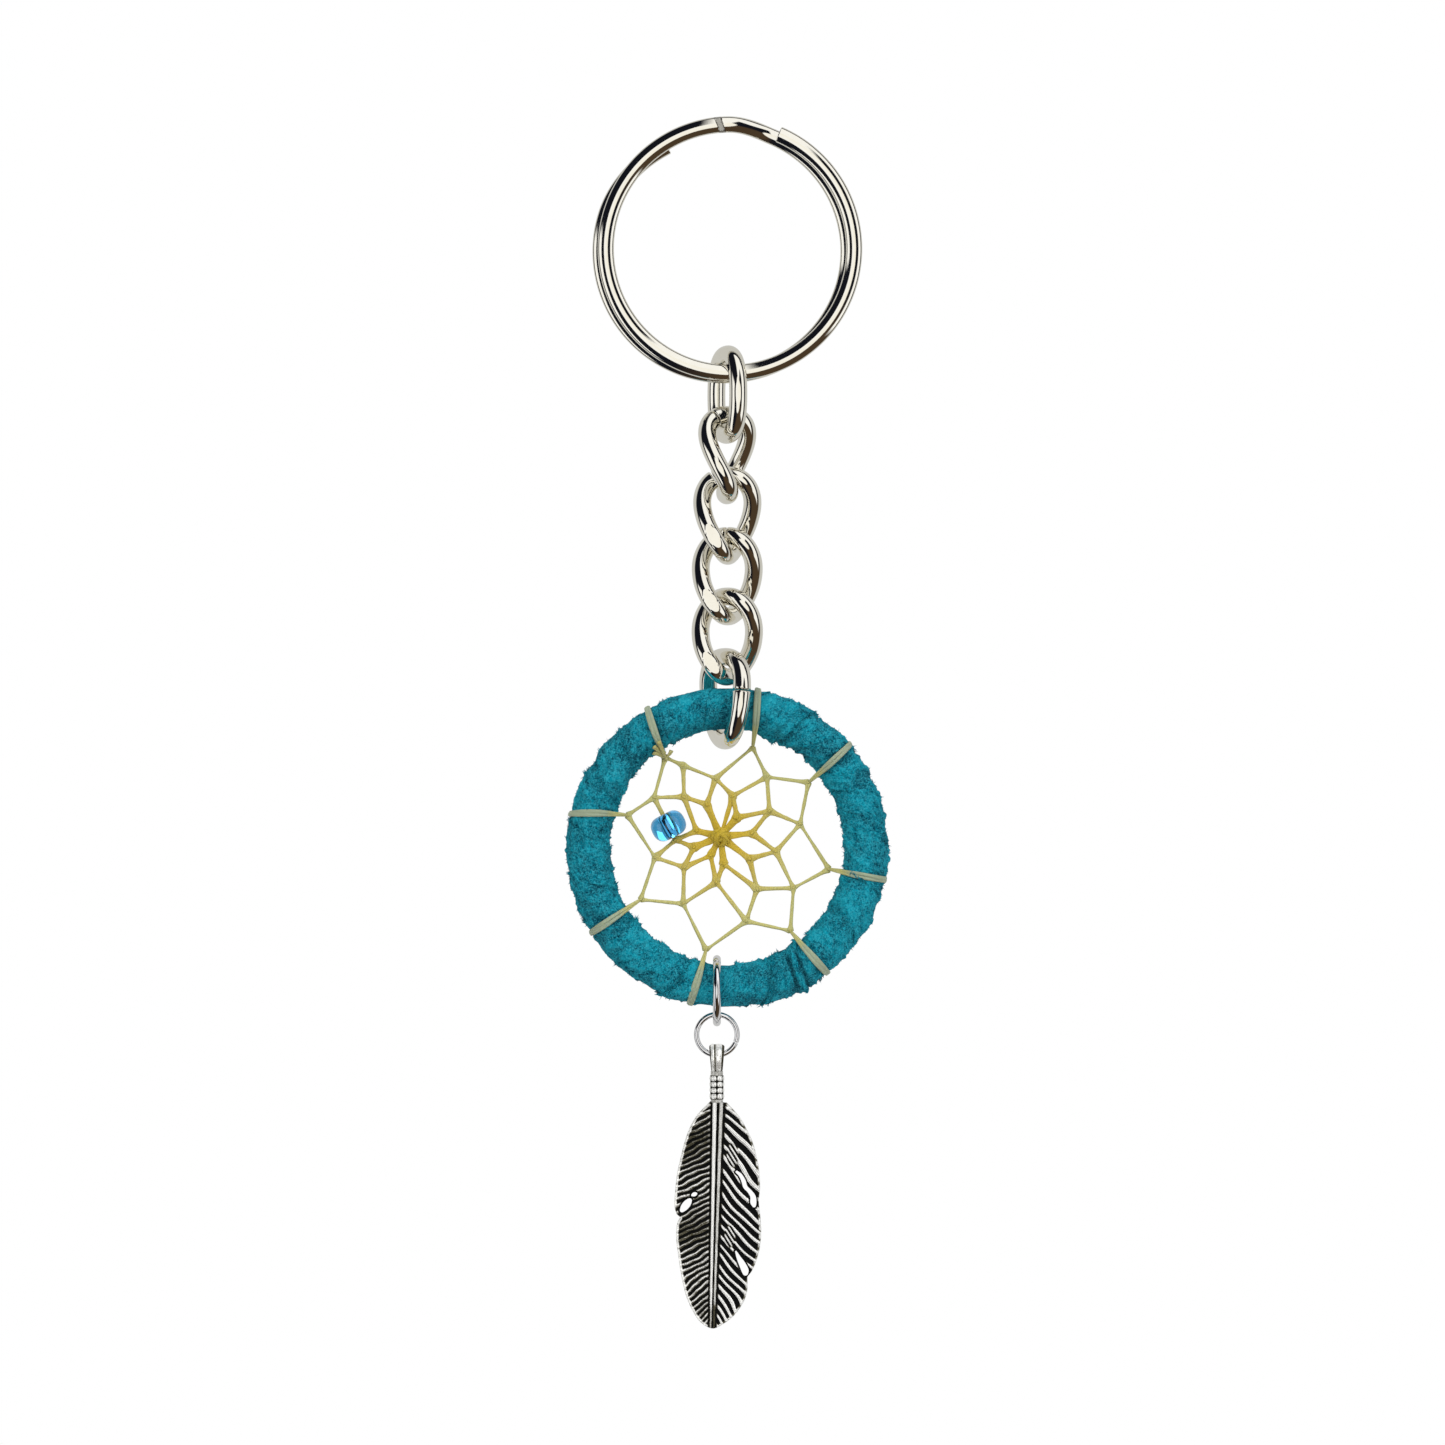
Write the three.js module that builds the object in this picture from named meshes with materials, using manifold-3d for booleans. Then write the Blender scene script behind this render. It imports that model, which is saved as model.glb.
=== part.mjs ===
// Dream catcher key chain: a split key ring, six curb chain links, a hoop wound with suede lace and
// netted with sinew thread, one glass bead, two jump rings and a cast feather charm.
// Millimetres. +Z is up, +X is the viewer's right, and the flat side faces -Y.
// The origin is the inner top of the key ring, where the whole thing hangs.
import * as THREE from "three";
import { mergeVertices } from "three/addons/utils/BufferGeometryUtils.js";
import Module from "manifold-3d";

const wasm = await Module();
wasm.setup();
const radians = THREE.MathUtils.degToRad;

// ---- Driving dimensions -------------------------------------------------------------------------

const HANG_GAP = 0.15; // play between two wires that hang on each other
const BUTT_GAP = 0.08; // slit where the two ends of a bent wire meet

// Split key ring: one wire wound almost twice round
const RING_OUTER = 29.3; // outer diameter of one coil
const RING_RADIAL = 1.8; // wire, measured across the coil's radius
const RING_AXIAL = 1.04; // wire, measured along the ring's axis
const RING_COIL_GAP = 0.06; // air between the two coils
const RING_COIL_SHIFT = new THREE.Vector2(0.3, 0.1); // how far each coil sits off centre, X and Z
const RING_START_DEG = 67; // front end of the wire
const RING_CRANK_DEG = 92; // where the front coil starts to step back
const RING_END_DEG = 118.5; // rear end of the wire

// Curb chain links
const LINK_WIRE = 2.05; // wire diameter
const LINK_OPENING_LENGTH = 6.85; // inside length
const LINK_OPENING_WIDTH = 3.9; // inside width
const LINK_SQUARENESS = 2.4; // 2 is an ellipse, larger is squarer
const FACET_DEPTH = 0.24; // how much is ground off the front and back of a flattened link

// Hoop
const HOOP_RADIUS = 15.35; // centre line of the hoop
const CORE_WIRE = 2.6; // metal wire inside the lace
const LACE_THICKNESS = 0.95; // suede lace
const LACE_TURNS = 19;
const LACE_COVER = 0.96; // share of each turn's pitch that the lace covers
const LACE_CORE_GAP = 0.1; // play between lace and wire
const LACE_START_DEG = -46; // where the two ends of the lace meet
const LACE_END_GAP_DEG = 1.5;

// Sinew web
const THREAD = 0.42; // thread diameter
const HUB_RADIUS = 0.95; // knot in the middle of the web
const THREAD_LACE_GAP = 0.1; // play between thread and lace
const HITCH_END_GAP = 0.1; // play between a hitch's two ends and the web's corner

// Bead
const BEAD_DIAMETER = 4.2;
const BEAD_HEIGHT = 2.8;
const BEAD_HOLE = 1.2;
const BEAD_REST = 1.75; // bead centre above the lower knot of its strand

// Jump rings
const HOOP_JUMP_WIRE = 0.88;
const HOOP_JUMP_SLACK = 1.44; // how much wider its opening is than the wrapped hoop
const HOOP_JUMP_DEG = -94.3; // place on the hoop
const CHARM_JUMP_OUTER = 5.1;
const CHARM_JUMP_WIRE = 0.6;

// Feather charm
const CHARM_LENGTH = 31.5; // top of the bail to the tip
const FEATHER_THICKNESS = 1.2;
const BAIL_RADIUS = 1.6;
const BAIL_WALL = 0.65;
const BAIL_WIDTH = 1.7;
const COLLAR_WIDTH = 1.5;
const COLLAR_BOTTOM = 6.1; // below the top of the bail
const SHAFT_TOP_WIDTH = 1.4;
const SHAFT_TIP_WIDTH = 0.8;
const SHAFT_HEIGHT = 0.3; // how far the shaft stands off each face

// ---- Materials ----------------------------------------------------------------------------------

const finish = (color, roughness, metalness) =>
  new THREE.MeshStandardMaterial({ color, roughness, metalness });
const NICKEL = () => finish(0xd8d2c4, 0.12, 1);
const STEEL = () => finish(0x9b9b98, 0.35, 1);
const SILVER = () => finish(0xdcdde0, 0.1, 1);
const ANTIQUE = () => finish(0x8e8b86, 0.38, 1);
const SUEDE = () => finish(0x0f7f93, 0.95, 0);
const SINEW = () => finish(0xd6c67f, 0.55, 0);
const GLASS = () => finish(0x1479c9, 0.08, 0);

// ---- Helpers ------------------------------------------------------------------------------------

const group = new THREE.Group();

function addMesh(name, geometry, material) {
  const mesh = new THREE.Mesh(geometry, material);
  mesh.name = name;
  group.add(mesh);
  return mesh;
}

// Moves every vertex of a bar standing along Y from -0.5 to 0.5 onto a path. place(t, across, depth)
// gives the point for a station t from 0 to 1 and the bar's own X and Z there.
function bendBar(geometry, place) {
  const position = geometry.attributes.position;
  for (let i = 0; i < position.count; i += 1) {
    const point = place(position.getY(i) + 0.5, position.getX(i), position.getZ(i));
    position.setXYZ(i, point.x, point.y, point.z);
  }
  geometry.computeVertexNormals();
  return geometry;
}

// Wire of an oval section along path(t), with its section's X axis turned towards outward(t).
function bendWire(path, outward, halfAcross, halfDepth, sides, steps) {
  const bar = new THREE.CylinderGeometry(1, 1, 1, sides, steps);
  const step = 1e-4;
  return bendBar(bar, (t, across, depth) => {
    const tangent = path(t + step).sub(path(t - step)).normalize();
    const side = outward(t);
    side.addScaledVector(tangent, -side.dot(tangent)).normalize();
    const deep = side.clone().cross(tangent);
    return path(t)
      .addScaledVector(side, across * halfAcross)
      .addScaledVector(deep, depth * halfDepth);
  });
}

function toSolid(geometry) {
  const bare = geometry.clone();
  for (const name of Object.keys(bare.attributes)) {
    if (name !== "position") bare.deleteAttribute(name);
  }
  const merged = mergeVertices(bare, 1e-5);
  const vertProperties = new Float32Array(merged.attributes.position.array);
  const triVerts = new Uint32Array(merged.index.array);
  return new wasm.Manifold(new wasm.Mesh({ numProp: 3, vertProperties, triVerts }));
}

function toGeometry(solid) {
  const mesh = solid.getMesh();
  const geometry = new THREE.BufferGeometry();
  geometry.setAttribute("position", new THREE.BufferAttribute(mesh.vertProperties, 3));
  geometry.setIndex(new THREE.BufferAttribute(mesh.triVerts, 1));
  geometry.computeVertexNormals();
  return geometry;
}

const joinAll = (solids) => solids.reduce((sum, solid) => sum.add(solid));

// ---- Key ring -----------------------------------------------------------------------------------

const ringRadius = (RING_OUTER - RING_RADIAL) / 2;
const ringCentreZ = -(ringRadius - RING_RADIAL / 2);
const coilY = (RING_AXIAL + RING_COIL_GAP) / 2;

function makeKeyRing() {
  const start = radians(RING_START_DEG);
  const sweep = radians(2 * 360 + RING_START_DEG - RING_END_DEG);
  const crankStart = radians(360 + RING_START_DEG - RING_CRANK_DEG);
  const crankEnd = radians(360);
  const angleAt = (t) => start - sweep * t;
  const path = (t) => {
    // -1 on the front coil, +1 on the rear coil, a smooth step between them at the crank
    const coil = 2 * THREE.MathUtils.smoothstep(sweep * t, crankStart, crankEnd) - 1;
    return new THREE.Vector3(
      ringRadius * Math.cos(angleAt(t)) - coil * RING_COIL_SHIFT.x,
      coil * coilY,
      ringCentreZ + ringRadius * Math.sin(angleAt(t)) - coil * RING_COIL_SHIFT.y,
    );
  };
  const outward = (t) => new THREE.Vector3(Math.cos(angleAt(t)), 0, Math.sin(angleAt(t)));
  const wire = bendWire(path, outward, RING_RADIAL / 2, RING_AXIAL / 2, 8, 96);
  addMesh("key_ring", wire, NICKEL());
}

// ---- Chain --------------------------------------------------------------------------------------

// facing: direction of the link's own right side at mid height, in degrees from +X towards +Y
// twist: how far the bottom end is turned ahead of the top end
// seam: where the wire's ends meet, in degrees round the oval from its right side
const LINKS = [
  { facing: -66, twist: 0, seam: 250, flat: false },
  { facing: 58, twist: 90, seam: 115, flat: false },
  { facing: 30, twist: 90, seam: 115, flat: true },
  { facing: 15, twist: 90, seam: 90, flat: true },
  { facing: 10, twist: 90, seam: 115, flat: true },
  { facing: -64, twist: -16, seam: 8, flat: false },
];
const LACE_RADIUS = CORE_WIRE / 2 + LACE_CORE_GAP + LACE_THICKNESS; // outside of the wrapped hoop
// the last link is opened longer and wider than the others, to take the wrapped hoop askew
const END_LINK = LINKS[LINKS.length - 1];
const END_LINK_LENGTH = 3 * LINK_WIRE + 2 * LACE_RADIUS + 3 * HANG_GAP;
const END_LINK_WIDTH = LINK_WIRE
  + (2 * LACE_RADIUS + LINK_WIRE + 3 * HANG_GAP) / Math.sin(radians(Math.abs(END_LINK.facing)));
const END_LINK_SHIFT = -0.25; // it hangs a little to the left

const LINK_LENGTH = LINK_OPENING_LENGTH + 2 * LINK_WIRE;
const LINK_WIDTH = LINK_OPENING_WIDTH + 2 * LINK_WIRE;

const firstLinkTop =
  ringCentreZ - ringRadius + RING_RADIAL / 2 + RING_COIL_SHIFT.y + HANG_GAP + LINK_WIRE;
const linkPitch = LINK_LENGTH - 2 * LINK_WIRE - HANG_GAP;

function makeLink(index, { facing, twist, seam, flat }) {
  const isEnd = index === LINKS.length - 1;
  const length = isEnd ? END_LINK_LENGTH : LINK_LENGTH;
  const width = isEnd ? END_LINK_WIDTH : LINK_WIDTH;
  const halfHeight = (length - LINK_WIRE) / 2;
  const halfWidth = (width - LINK_WIRE) / 2;
  const centre = new THREE.Vector3(
    isEnd ? END_LINK_SHIFT : 0,
    0,
    firstLinkTop - index * linkPitch - length / 2,
  );
  const slit = BUTT_GAP / (2 * Math.PI * halfWidth);
  const power = 2 / LINK_SQUARENESS;
  const rounded = (value) => Math.sign(value) * Math.abs(value) ** power;
  const roundAngle = (t) => radians(seam) + 2 * Math.PI * (slit / 2 + (1 - slit) * t);
  const turned = (across, height) => {
    const turn = radians(facing - (twist * height) / (2 * halfHeight));
    return new THREE.Vector3(across * Math.cos(turn), across * Math.sin(turn), height);
  };
  const path = (t) => {
    const across = halfWidth * rounded(Math.cos(roundAngle(t)));
    const height = halfHeight * rounded(Math.sin(roundAngle(t)));
    return turned(across, height).add(centre);
  };
  const outward = (t) => {
    const across = Math.cos(roundAngle(t));
    const turn = radians(facing - (twist * Math.sin(roundAngle(t))) / 2);
    const height = Math.sin(roundAngle(t));
    return new THREE.Vector3(across * Math.cos(turn), across * Math.sin(turn), height);
  };
  const wire = bendWire(path, outward, LINK_WIRE / 2, LINK_WIRE / 2, 8, 32);
  if (flat) flattenFaces(wire);
  addMesh(`chain_link_${index + 1}`, wire, NICKEL());
}

// Grinds the front and the back of a link down to two planes.
function flattenFaces(geometry) {
  geometry.computeBoundingBox();
  const front = geometry.boundingBox.min.y + FACET_DEPTH;
  const back = geometry.boundingBox.max.y - FACET_DEPTH;
  const position = geometry.attributes.position;
  for (let i = 0; i < position.count; i += 1) {
    position.setY(i, THREE.MathUtils.clamp(position.getY(i), front, back));
  }
  geometry.computeVertexNormals();
}

// ---- Hoop ---------------------------------------------------------------------------------------

const endLinkBottom = firstLinkTop - (LINKS.length - 1) * linkPitch - END_LINK_LENGTH;
const hoopTopZ = endLinkBottom + LINK_WIRE + HANG_GAP + LACE_RADIUS;
const hoopCentre = new THREE.Vector3(0, 0, hoopTopZ - HOOP_RADIUS);

// Point in the hoop's plane at an angle from +X and a distance from its centre.
const onHoop = (degrees, radius, y = 0) =>
  new THREE.Vector3(
    hoopCentre.x + radius * Math.cos(radians(degrees)),
    y,
    hoopCentre.z + radius * Math.sin(radians(degrees)),
  );

function makeHoopCore() {
  const core = new THREE.TorusGeometry(HOOP_RADIUS, CORE_WIRE / 2, 8, 48);
  core.rotateX(Math.PI / 2);
  const mesh = addMesh("hoop_core", core, STEEL());
  mesh.position.copy(hoopCentre);
}

// One flat lace wound round the core wire like a bandage, edge beside edge.
function makeSuedeWrap() {
  const stepsPerTurn = 12;
  const lace = new THREE.BoxGeometry(1, 1, 1, 2, LACE_TURNS * stepsPerTurn, 1);
  const sweep = 360 - LACE_END_GAP_DEG - 360 / LACE_TURNS;
  const pitch = sweep / (LACE_TURNS - 1);
  bendBar(lace, (t, across, depth) => {
    const wound = 2 * Math.PI * LACE_TURNS * t;
    const degrees = LACE_START_DEG + pitch * (LACE_TURNS * t - 0.5 + across * LACE_COVER);
    const height = LACE_RADIUS - LACE_THICKNESS * (0.5 - depth);
    return onHoop(degrees, HOOP_RADIUS - height * Math.cos(wound), height * Math.sin(wound));
  });
  addMesh("suede_wrap", lace, SUEDE());
}

// ---- Sinew web ----------------------------------------------------------------------------------

const laceInner = HOOP_RADIUS - LACE_RADIUS; // radius of the opening that the web fills

// Corners of the web by row, from the hoop inwards: angle in degrees and share of the opening.
const CORNERS = {
  a: [
    [124.6, 0.93], [75.7, 0.877], [38.6, 0.885], [-12.1, 0.885],
    [-53, 0.892], [-101.7, 0.892], [211.1, 0.862], [162.1, 0.892],
  ],
  b: [
    [99.7, 0.595], [60.6, 0.688], [17.7, 0.651], [-31.6, 0.662],
    [-75.6, 0.649], [232, 0.61], [187.9, 0.622], [145.8, 0.754],
  ],
  c: [
    [83.8, 0.441], [40.8, 0.474], [-4.9, 0.416], [-54.4, 0.435],
    [252.5, 0.312], [204.7, 0.406], [171.8, 0.444], [130.6, 0.567],
  ],
  d: [
    [71.8, 0.267], [29.7, 0.242], [-27.6, 0.213], [258, 0.145],
    [206.3, 0.159], [180, 0.285], [151.9, 0.298], [115.6, 0.404],
  ],
};
const EXTRA_CORNER = [118.3, 0.792]; // where the thread turns back near the starting knot
const HITCH_DEGREES = [119.7, 79.1, 40.1, -11.5, -51.3, -103.5, 212.1, 167.9];
const HUB_OFFSET = new THREE.Vector2(-0.75, 1.18); // middle of the web, off the hoop's centre

const cornerPoint = ([degrees, share]) => onHoop(degrees, share * laceInner);
const rows = Object.fromEntries(
  Object.entries(CORNERS).map(([row, corners]) => [row, corners.map(cornerPoint)]),
);
const hub = new THREE.Vector3(hoopCentre.x + HUB_OFFSET.x, 0, hoopCentre.z + HUB_OFFSET.y);

// Each corner hangs on the middle of the strands of the row outside it. Pairs of points.
function webStrands() {
  const extra = cornerPoint(EXTRA_CORNER);
  const count = HITCH_DEGREES.length;
  const strands = [[rows.a[0], extra], [extra, rows.b[0]], [extra, rows.c[7]]];
  for (let i = 0; i < count; i += 1) {
    const next = (i + 1) % count;
    if (i > 0) strands.push([rows.a[i], rows.b[i]]);
    strands.push([rows.a[next], rows.b[i]]);
    // in the last bay the extra strand and row b stand in for the second strand of rows c and d
    strands.push([rows.b[i], rows.c[i]]);
    if (i < count - 1) strands.push([rows.b[next], rows.c[i]]);
    strands.push([rows.c[i], rows.d[i]]);
    if (i < count - 1) strands.push([rows.c[next], rows.d[i]]);
    strands.push([rows.d[i], hub]);
  }
  strands.push([rows.b[0], rows.d[7]], [rows.c[0], hub]);
  return strands;
}

function threadBetween([from, to]) {
  const length = from.distanceTo(to);
  const thread = new THREE.CylinderGeometry(THREAD / 2, THREAD / 2, length, 4);
  const up = new THREE.Vector3(0, 1, 0);
  const turn = new THREE.Quaternion().setFromUnitVectors(up, to.clone().sub(from).normalize());
  thread.applyQuaternion(turn);
  thread.translate(...from.clone().add(to).multiplyScalar(0.5));
  return toSolid(thread);
}

function makeWeb() {
  const knot = new THREE.OctahedronGeometry(HUB_RADIUS);
  knot.translate(hub.x, hub.y, hub.z);
  const web = joinAll([...webStrands().map(threadBetween), toSolid(knot)]);
  addMesh("web_net", toGeometry(web), SINEW());
}

// A loop of thread from a corner of the outer row, round the wrapped hoop and back.
function makeHitch(index) {
  const [cornerDegrees, cornerShare] = CORNERS.a[index];
  const loopRadius = LACE_RADIUS + THREAD_LACE_GAP + THREAD / 2;
  const endRadius = cornerShare * laceInner + THREAD / 2 + HITCH_END_GAP;
  const reach = HOOP_RADIUS - endRadius;
  // angle round the lace at which the straight thread leaves it
  const leave = Math.acos((loopRadius * 0.97) / reach) || 0;
  const points = [];
  const endY = THREAD * 0.75;
  const loopSteps = 12;
  points.push(onHoop(cornerDegrees, endRadius, -endY));
  for (let i = 0; i <= loopSteps; i += 1) {
    const round = leave + ((2 * Math.PI - 2 * leave) * i) / loopSteps;
    const radius = HOOP_RADIUS - loopRadius * Math.cos(round);
    if (radius > endRadius + THREAD) {
      points.push(onHoop(HITCH_DEGREES[index], radius, -loopRadius * Math.sin(round)));
    }
  }
  points.push(onHoop(cornerDegrees, endRadius, endY));
  const route = new THREE.CatmullRomCurve3(points, false, "centripetal");
  const path = (t) => route.getPoint(THREE.MathUtils.clamp(t, 0, 1));
  const along = onHoop(HITCH_DEGREES[index] + 90, 1).sub(hoopCentre);
  const wire = bendWire(path, () => along.clone(), THREAD / 2, THREAD / 2, 4, 20);
  addMesh(`web_hitch_${index + 1}`, wire, SINEW());
}

// ---- Bead ---------------------------------------------------------------------------------------

function makeBead() {
  const bulge = (BEAD_DIAMETER - BEAD_HOLE) / 4;
  const middle = BEAD_HOLE / 2 + bulge;
  const points = [];
  const sides = 12;
  for (let i = 0; i <= sides; i += 1) {
    const turn = (2 * Math.PI * (i % sides)) / sides;
    points.push(new THREE.Vector2(
      middle + bulge * Math.cos(turn),
      (BEAD_HEIGHT / 2) * Math.sin(turn),
    ));
  }
  const bead = new THREE.LatheGeometry(points, 20);
  const strandUp = rows.b[7].clone().sub(rows.c[6]).normalize();
  const mesh = addMesh("bead", bead, GLASS());
  mesh.quaternion.setFromUnitVectors(new THREE.Vector3(0, 1, 0), strandUp);
  mesh.position.copy(rows.c[6]).addScaledVector(strandUp, BEAD_REST);
}

// ---- Jump rings ---------------------------------------------------------------------------------

const hoopJumpRadius = LACE_RADIUS + (HOOP_JUMP_SLACK + HOOP_JUMP_WIRE) / 2;
const charmJumpRadius = (CHARM_JUMP_OUTER - CHARM_JUMP_WIRE) / 2;
const lowTube = onHoop(HOOP_JUMP_DEG, HOOP_RADIUS);
const hoopJumpCentre = new THREE.Vector3(
  lowTube.x,
  0,
  lowTube.z + LACE_RADIUS + HANG_GAP + HOOP_JUMP_WIRE / 2 - hoopJumpRadius,
);
const charmJumpCentre = new THREE.Vector3(
  lowTube.x,
  0,
  hoopJumpCentre.z - hoopJumpRadius + (HOOP_JUMP_WIRE + CHARM_JUMP_WIRE) / 2 + HANG_GAP
    - charmJumpRadius,
);

// Round wire bent to a ring in the plane of +Z and the given side direction.
function makeJumpRing(name, centre, radius, wire, side, seamDegrees) {
  const slit = BUTT_GAP / (2 * Math.PI * radius);
  const angleAt = (t) => radians(seamDegrees) + 2 * Math.PI * (slit / 2 + (1 - slit) * t);
  const outward = (t) =>
    side.clone().multiplyScalar(Math.cos(angleAt(t))).setZ(Math.sin(angleAt(t)));
  const path = (t) => outward(t).multiplyScalar(radius).add(centre);
  addMesh(name, bendWire(path, outward, wire / 2, wire / 2, 8, 28), SILVER());
}

// ---- Feather charm ------------------------------------------------------------------------------

const eyeRise = BAIL_WIDTH ** 2 / (8 * charmJumpRadius); // the ring curves up across the bail's width
const charmTop = new THREE.Vector3(
  charmJumpCentre.x,
  0,
  charmJumpCentre.z - charmJumpRadius + CHARM_JUMP_WIRE / 2 + HANG_GAP + eyeRise + BAIL_WALL,
);

// Edge of the vane from its root to the tip and back: X from the charm's axis, Z below the bail's top.
const LEFT_EDGE = [
  [[-0.7, -6.3], [-2.34, -8.1], [-3.99, -12.5], [-4.7, -17.8]],
  [[-4.07, -19.2], [-4.42, -20.0], [-4.45, -22], [-3.48, -27.7], [-1.83, -30.8], [-0.4, -CHARM_LENGTH]],
];
const RIGHT_EDGE = [
  [[0.58, -31.1], [1.98, -30], [3.0, -28.5], [3.38, -27.2], [3.38, -25.8]],
  [[4.02, -24.9], [4.9, -21.1], [4.65, -17.5], [4.78, -16], [3.89, -10.7], [2.36, -7.9], [0.8, -6.3]],
];
// Pierced openings between the barbs: centre, half length, half width and lean in degrees
const PIERCINGS = [
  { x: -3.25, z: -17.9, halfLength: 0.75, halfWidth: 0.36, lean: 60 },
  { x: 3.2, z: -15.9, halfLength: 1.7, halfWidth: 0.36, lean: -56 },
  { x: 2.7, z: -24.1, halfLength: 1.2, halfWidth: 0.32, lean: -65 },
];

function featherOutline() {
  const outline = new THREE.Shape();
  const stretches = [...LEFT_EDGE, ...RIGHT_EDGE];
  outline.moveTo(...stretches[0][0]);
  for (const stretch of stretches) {
    outline.lineTo(...stretch[0]);
    outline.splineThru(stretch.slice(1).map(([x, z]) => new THREE.Vector2(x, z)));
  }
  for (const { x, z, halfLength, halfWidth, lean } of PIERCINGS) {
    const opening = new THREE.Path();
    opening.absellipse(x, z, halfLength, halfWidth, 0, 2 * Math.PI, true, radians(lean));
    outline.holes.push(opening);
  }
  return outline;
}

// Turns a shape drawn in X and Y into a plate in X and Z, half its thickness each side of Y = 0.
function standUp(geometry, thickness) {
  geometry.translate(0, 0, -thickness / 2);
  geometry.rotateX(Math.PI / 2);
  return geometry;
}

function makeFeather() {
  const vane = standUp(new THREE.ExtrudeGeometry(featherOutline(), {
    depth: FEATHER_THICKNESS, bevelEnabled: false, curveSegments: 5,
  }), FEATHER_THICKNESS);

  const shaftDepth = FEATHER_THICKNESS + 2 * SHAFT_HEIGHT;
  const shaftShape = new THREE.Shape();
  shaftShape.moveTo(0.14 - SHAFT_TOP_WIDTH / 2, -COLLAR_BOTTOM + SHAFT_HEIGHT);
  shaftShape.lineTo(-0.5 - SHAFT_TIP_WIDTH / 2, 1 - CHARM_LENGTH);
  shaftShape.lineTo(-0.5 + SHAFT_TIP_WIDTH / 2, 1 - CHARM_LENGTH);
  shaftShape.lineTo(0.14 + SHAFT_TOP_WIDTH / 2, -COLLAR_BOTTOM + SHAFT_HEIGHT);
  const shaft = standUp(new THREE.ExtrudeGeometry(shaftShape, {
    depth: shaftDepth, bevelEnabled: false,
  }), shaftDepth);

  // a tall collar that reaches from the bail's lower wall to the shaft, with three beaded rows
  const collarPoints = [new THREE.Vector2(0, -COLLAR_BOTTOM - SHAFT_HEIGHT)];
  const rowCount = 3;
  const collarTop = -2 * BAIL_RADIUS + BAIL_WALL / 2;
  const rowHeight = (COLLAR_BOTTOM - 2 * BAIL_RADIUS) / rowCount;
  for (let row = rowCount - 1; row >= 0; row -= 1) {
    const top = -2 * BAIL_RADIUS - row * rowHeight;
    collarPoints.push(
      new THREE.Vector2(COLLAR_WIDTH / 2 - SHAFT_HEIGHT / 2, top - rowHeight),
      new THREE.Vector2(COLLAR_WIDTH / 2, top - rowHeight / 2),
    );
  }
  collarPoints.push(new THREE.Vector2(COLLAR_WIDTH / 2 - SHAFT_HEIGHT / 2, collarTop));
  collarPoints.push(new THREE.Vector2(0, collarTop));
  const collar = new THREE.LatheGeometry(collarPoints, 12);
  collar.rotateX(Math.PI / 2);

  const bailShape = new THREE.Shape();
  bailShape.absarc(0, -BAIL_RADIUS, BAIL_RADIUS, 0, 2 * Math.PI);
  const eye = new THREE.Path();
  eye.absarc(0, -BAIL_RADIUS, BAIL_RADIUS - BAIL_WALL, 0, 2 * Math.PI, true);
  bailShape.holes.push(eye);
  const bail = standUp(new THREE.ExtrudeGeometry(bailShape, {
    depth: BAIL_WIDTH, bevelEnabled: false, curveSegments: 12,
  }), BAIL_WIDTH);
  bail.rotateZ(Math.PI / 2);

  const casting = joinAll([vane, shaft, collar, bail].map(toSolid));
  const mesh = addMesh("feather_charm", toGeometry(casting), ANTIQUE());
  mesh.position.copy(charmTop);
}

// ---- Assembly -----------------------------------------------------------------------------------

makeKeyRing();
LINKS.forEach((link, index) => makeLink(index, link));
makeHoopCore();
makeSuedeWrap();
makeWeb();
HITCH_DEGREES.forEach((_, index) => makeHitch(index));
makeBead();
makeJumpRing(
  "jump_ring_hoop", hoopJumpCentre, hoopJumpRadius, HOOP_JUMP_WIRE, new THREE.Vector3(0, -1, 0), 60,
);
makeJumpRing(
  "jump_ring_charm", charmJumpCentre, charmJumpRadius, CHARM_JUMP_WIRE, new THREE.Vector3(1, 0, 0), -22,
);
makeFeather();

export default group;
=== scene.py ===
"""Looks of a dream catcher key chain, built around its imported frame.

Shapes are worked out in millimetres and put into their meshes in metres. X is to the right, Z is up,
and the flat side faces -Y.
"""

import logging
import math
from collections.abc import Callable
from dataclasses import dataclass, field
from enum import Enum

import bpy
import numpy as np
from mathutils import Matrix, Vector


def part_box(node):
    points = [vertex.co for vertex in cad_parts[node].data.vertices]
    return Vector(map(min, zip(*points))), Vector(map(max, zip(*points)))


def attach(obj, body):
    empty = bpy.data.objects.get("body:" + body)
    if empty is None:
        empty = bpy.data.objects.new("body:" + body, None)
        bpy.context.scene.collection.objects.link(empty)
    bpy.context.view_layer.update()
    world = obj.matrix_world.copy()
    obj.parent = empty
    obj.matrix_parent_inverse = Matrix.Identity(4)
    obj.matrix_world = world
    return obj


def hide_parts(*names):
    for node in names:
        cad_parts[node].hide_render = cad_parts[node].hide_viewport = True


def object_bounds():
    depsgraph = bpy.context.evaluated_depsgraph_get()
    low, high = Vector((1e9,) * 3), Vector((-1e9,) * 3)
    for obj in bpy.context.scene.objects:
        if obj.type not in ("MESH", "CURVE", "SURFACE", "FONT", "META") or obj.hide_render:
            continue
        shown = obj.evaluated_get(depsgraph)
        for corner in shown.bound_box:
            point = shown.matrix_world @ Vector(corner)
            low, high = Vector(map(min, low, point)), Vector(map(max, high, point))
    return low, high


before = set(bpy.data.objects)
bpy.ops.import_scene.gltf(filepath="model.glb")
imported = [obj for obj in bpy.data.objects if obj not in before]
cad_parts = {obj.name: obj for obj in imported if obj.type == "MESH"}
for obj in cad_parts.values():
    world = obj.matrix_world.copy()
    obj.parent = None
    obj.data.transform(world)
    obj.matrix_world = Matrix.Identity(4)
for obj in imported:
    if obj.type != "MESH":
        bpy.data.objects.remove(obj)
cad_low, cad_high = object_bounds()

LOG = logging.getLogger("dream_catcher")
MM = 0.001
Array = np.ndarray
Course = Callable[[Array], Array]


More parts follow.
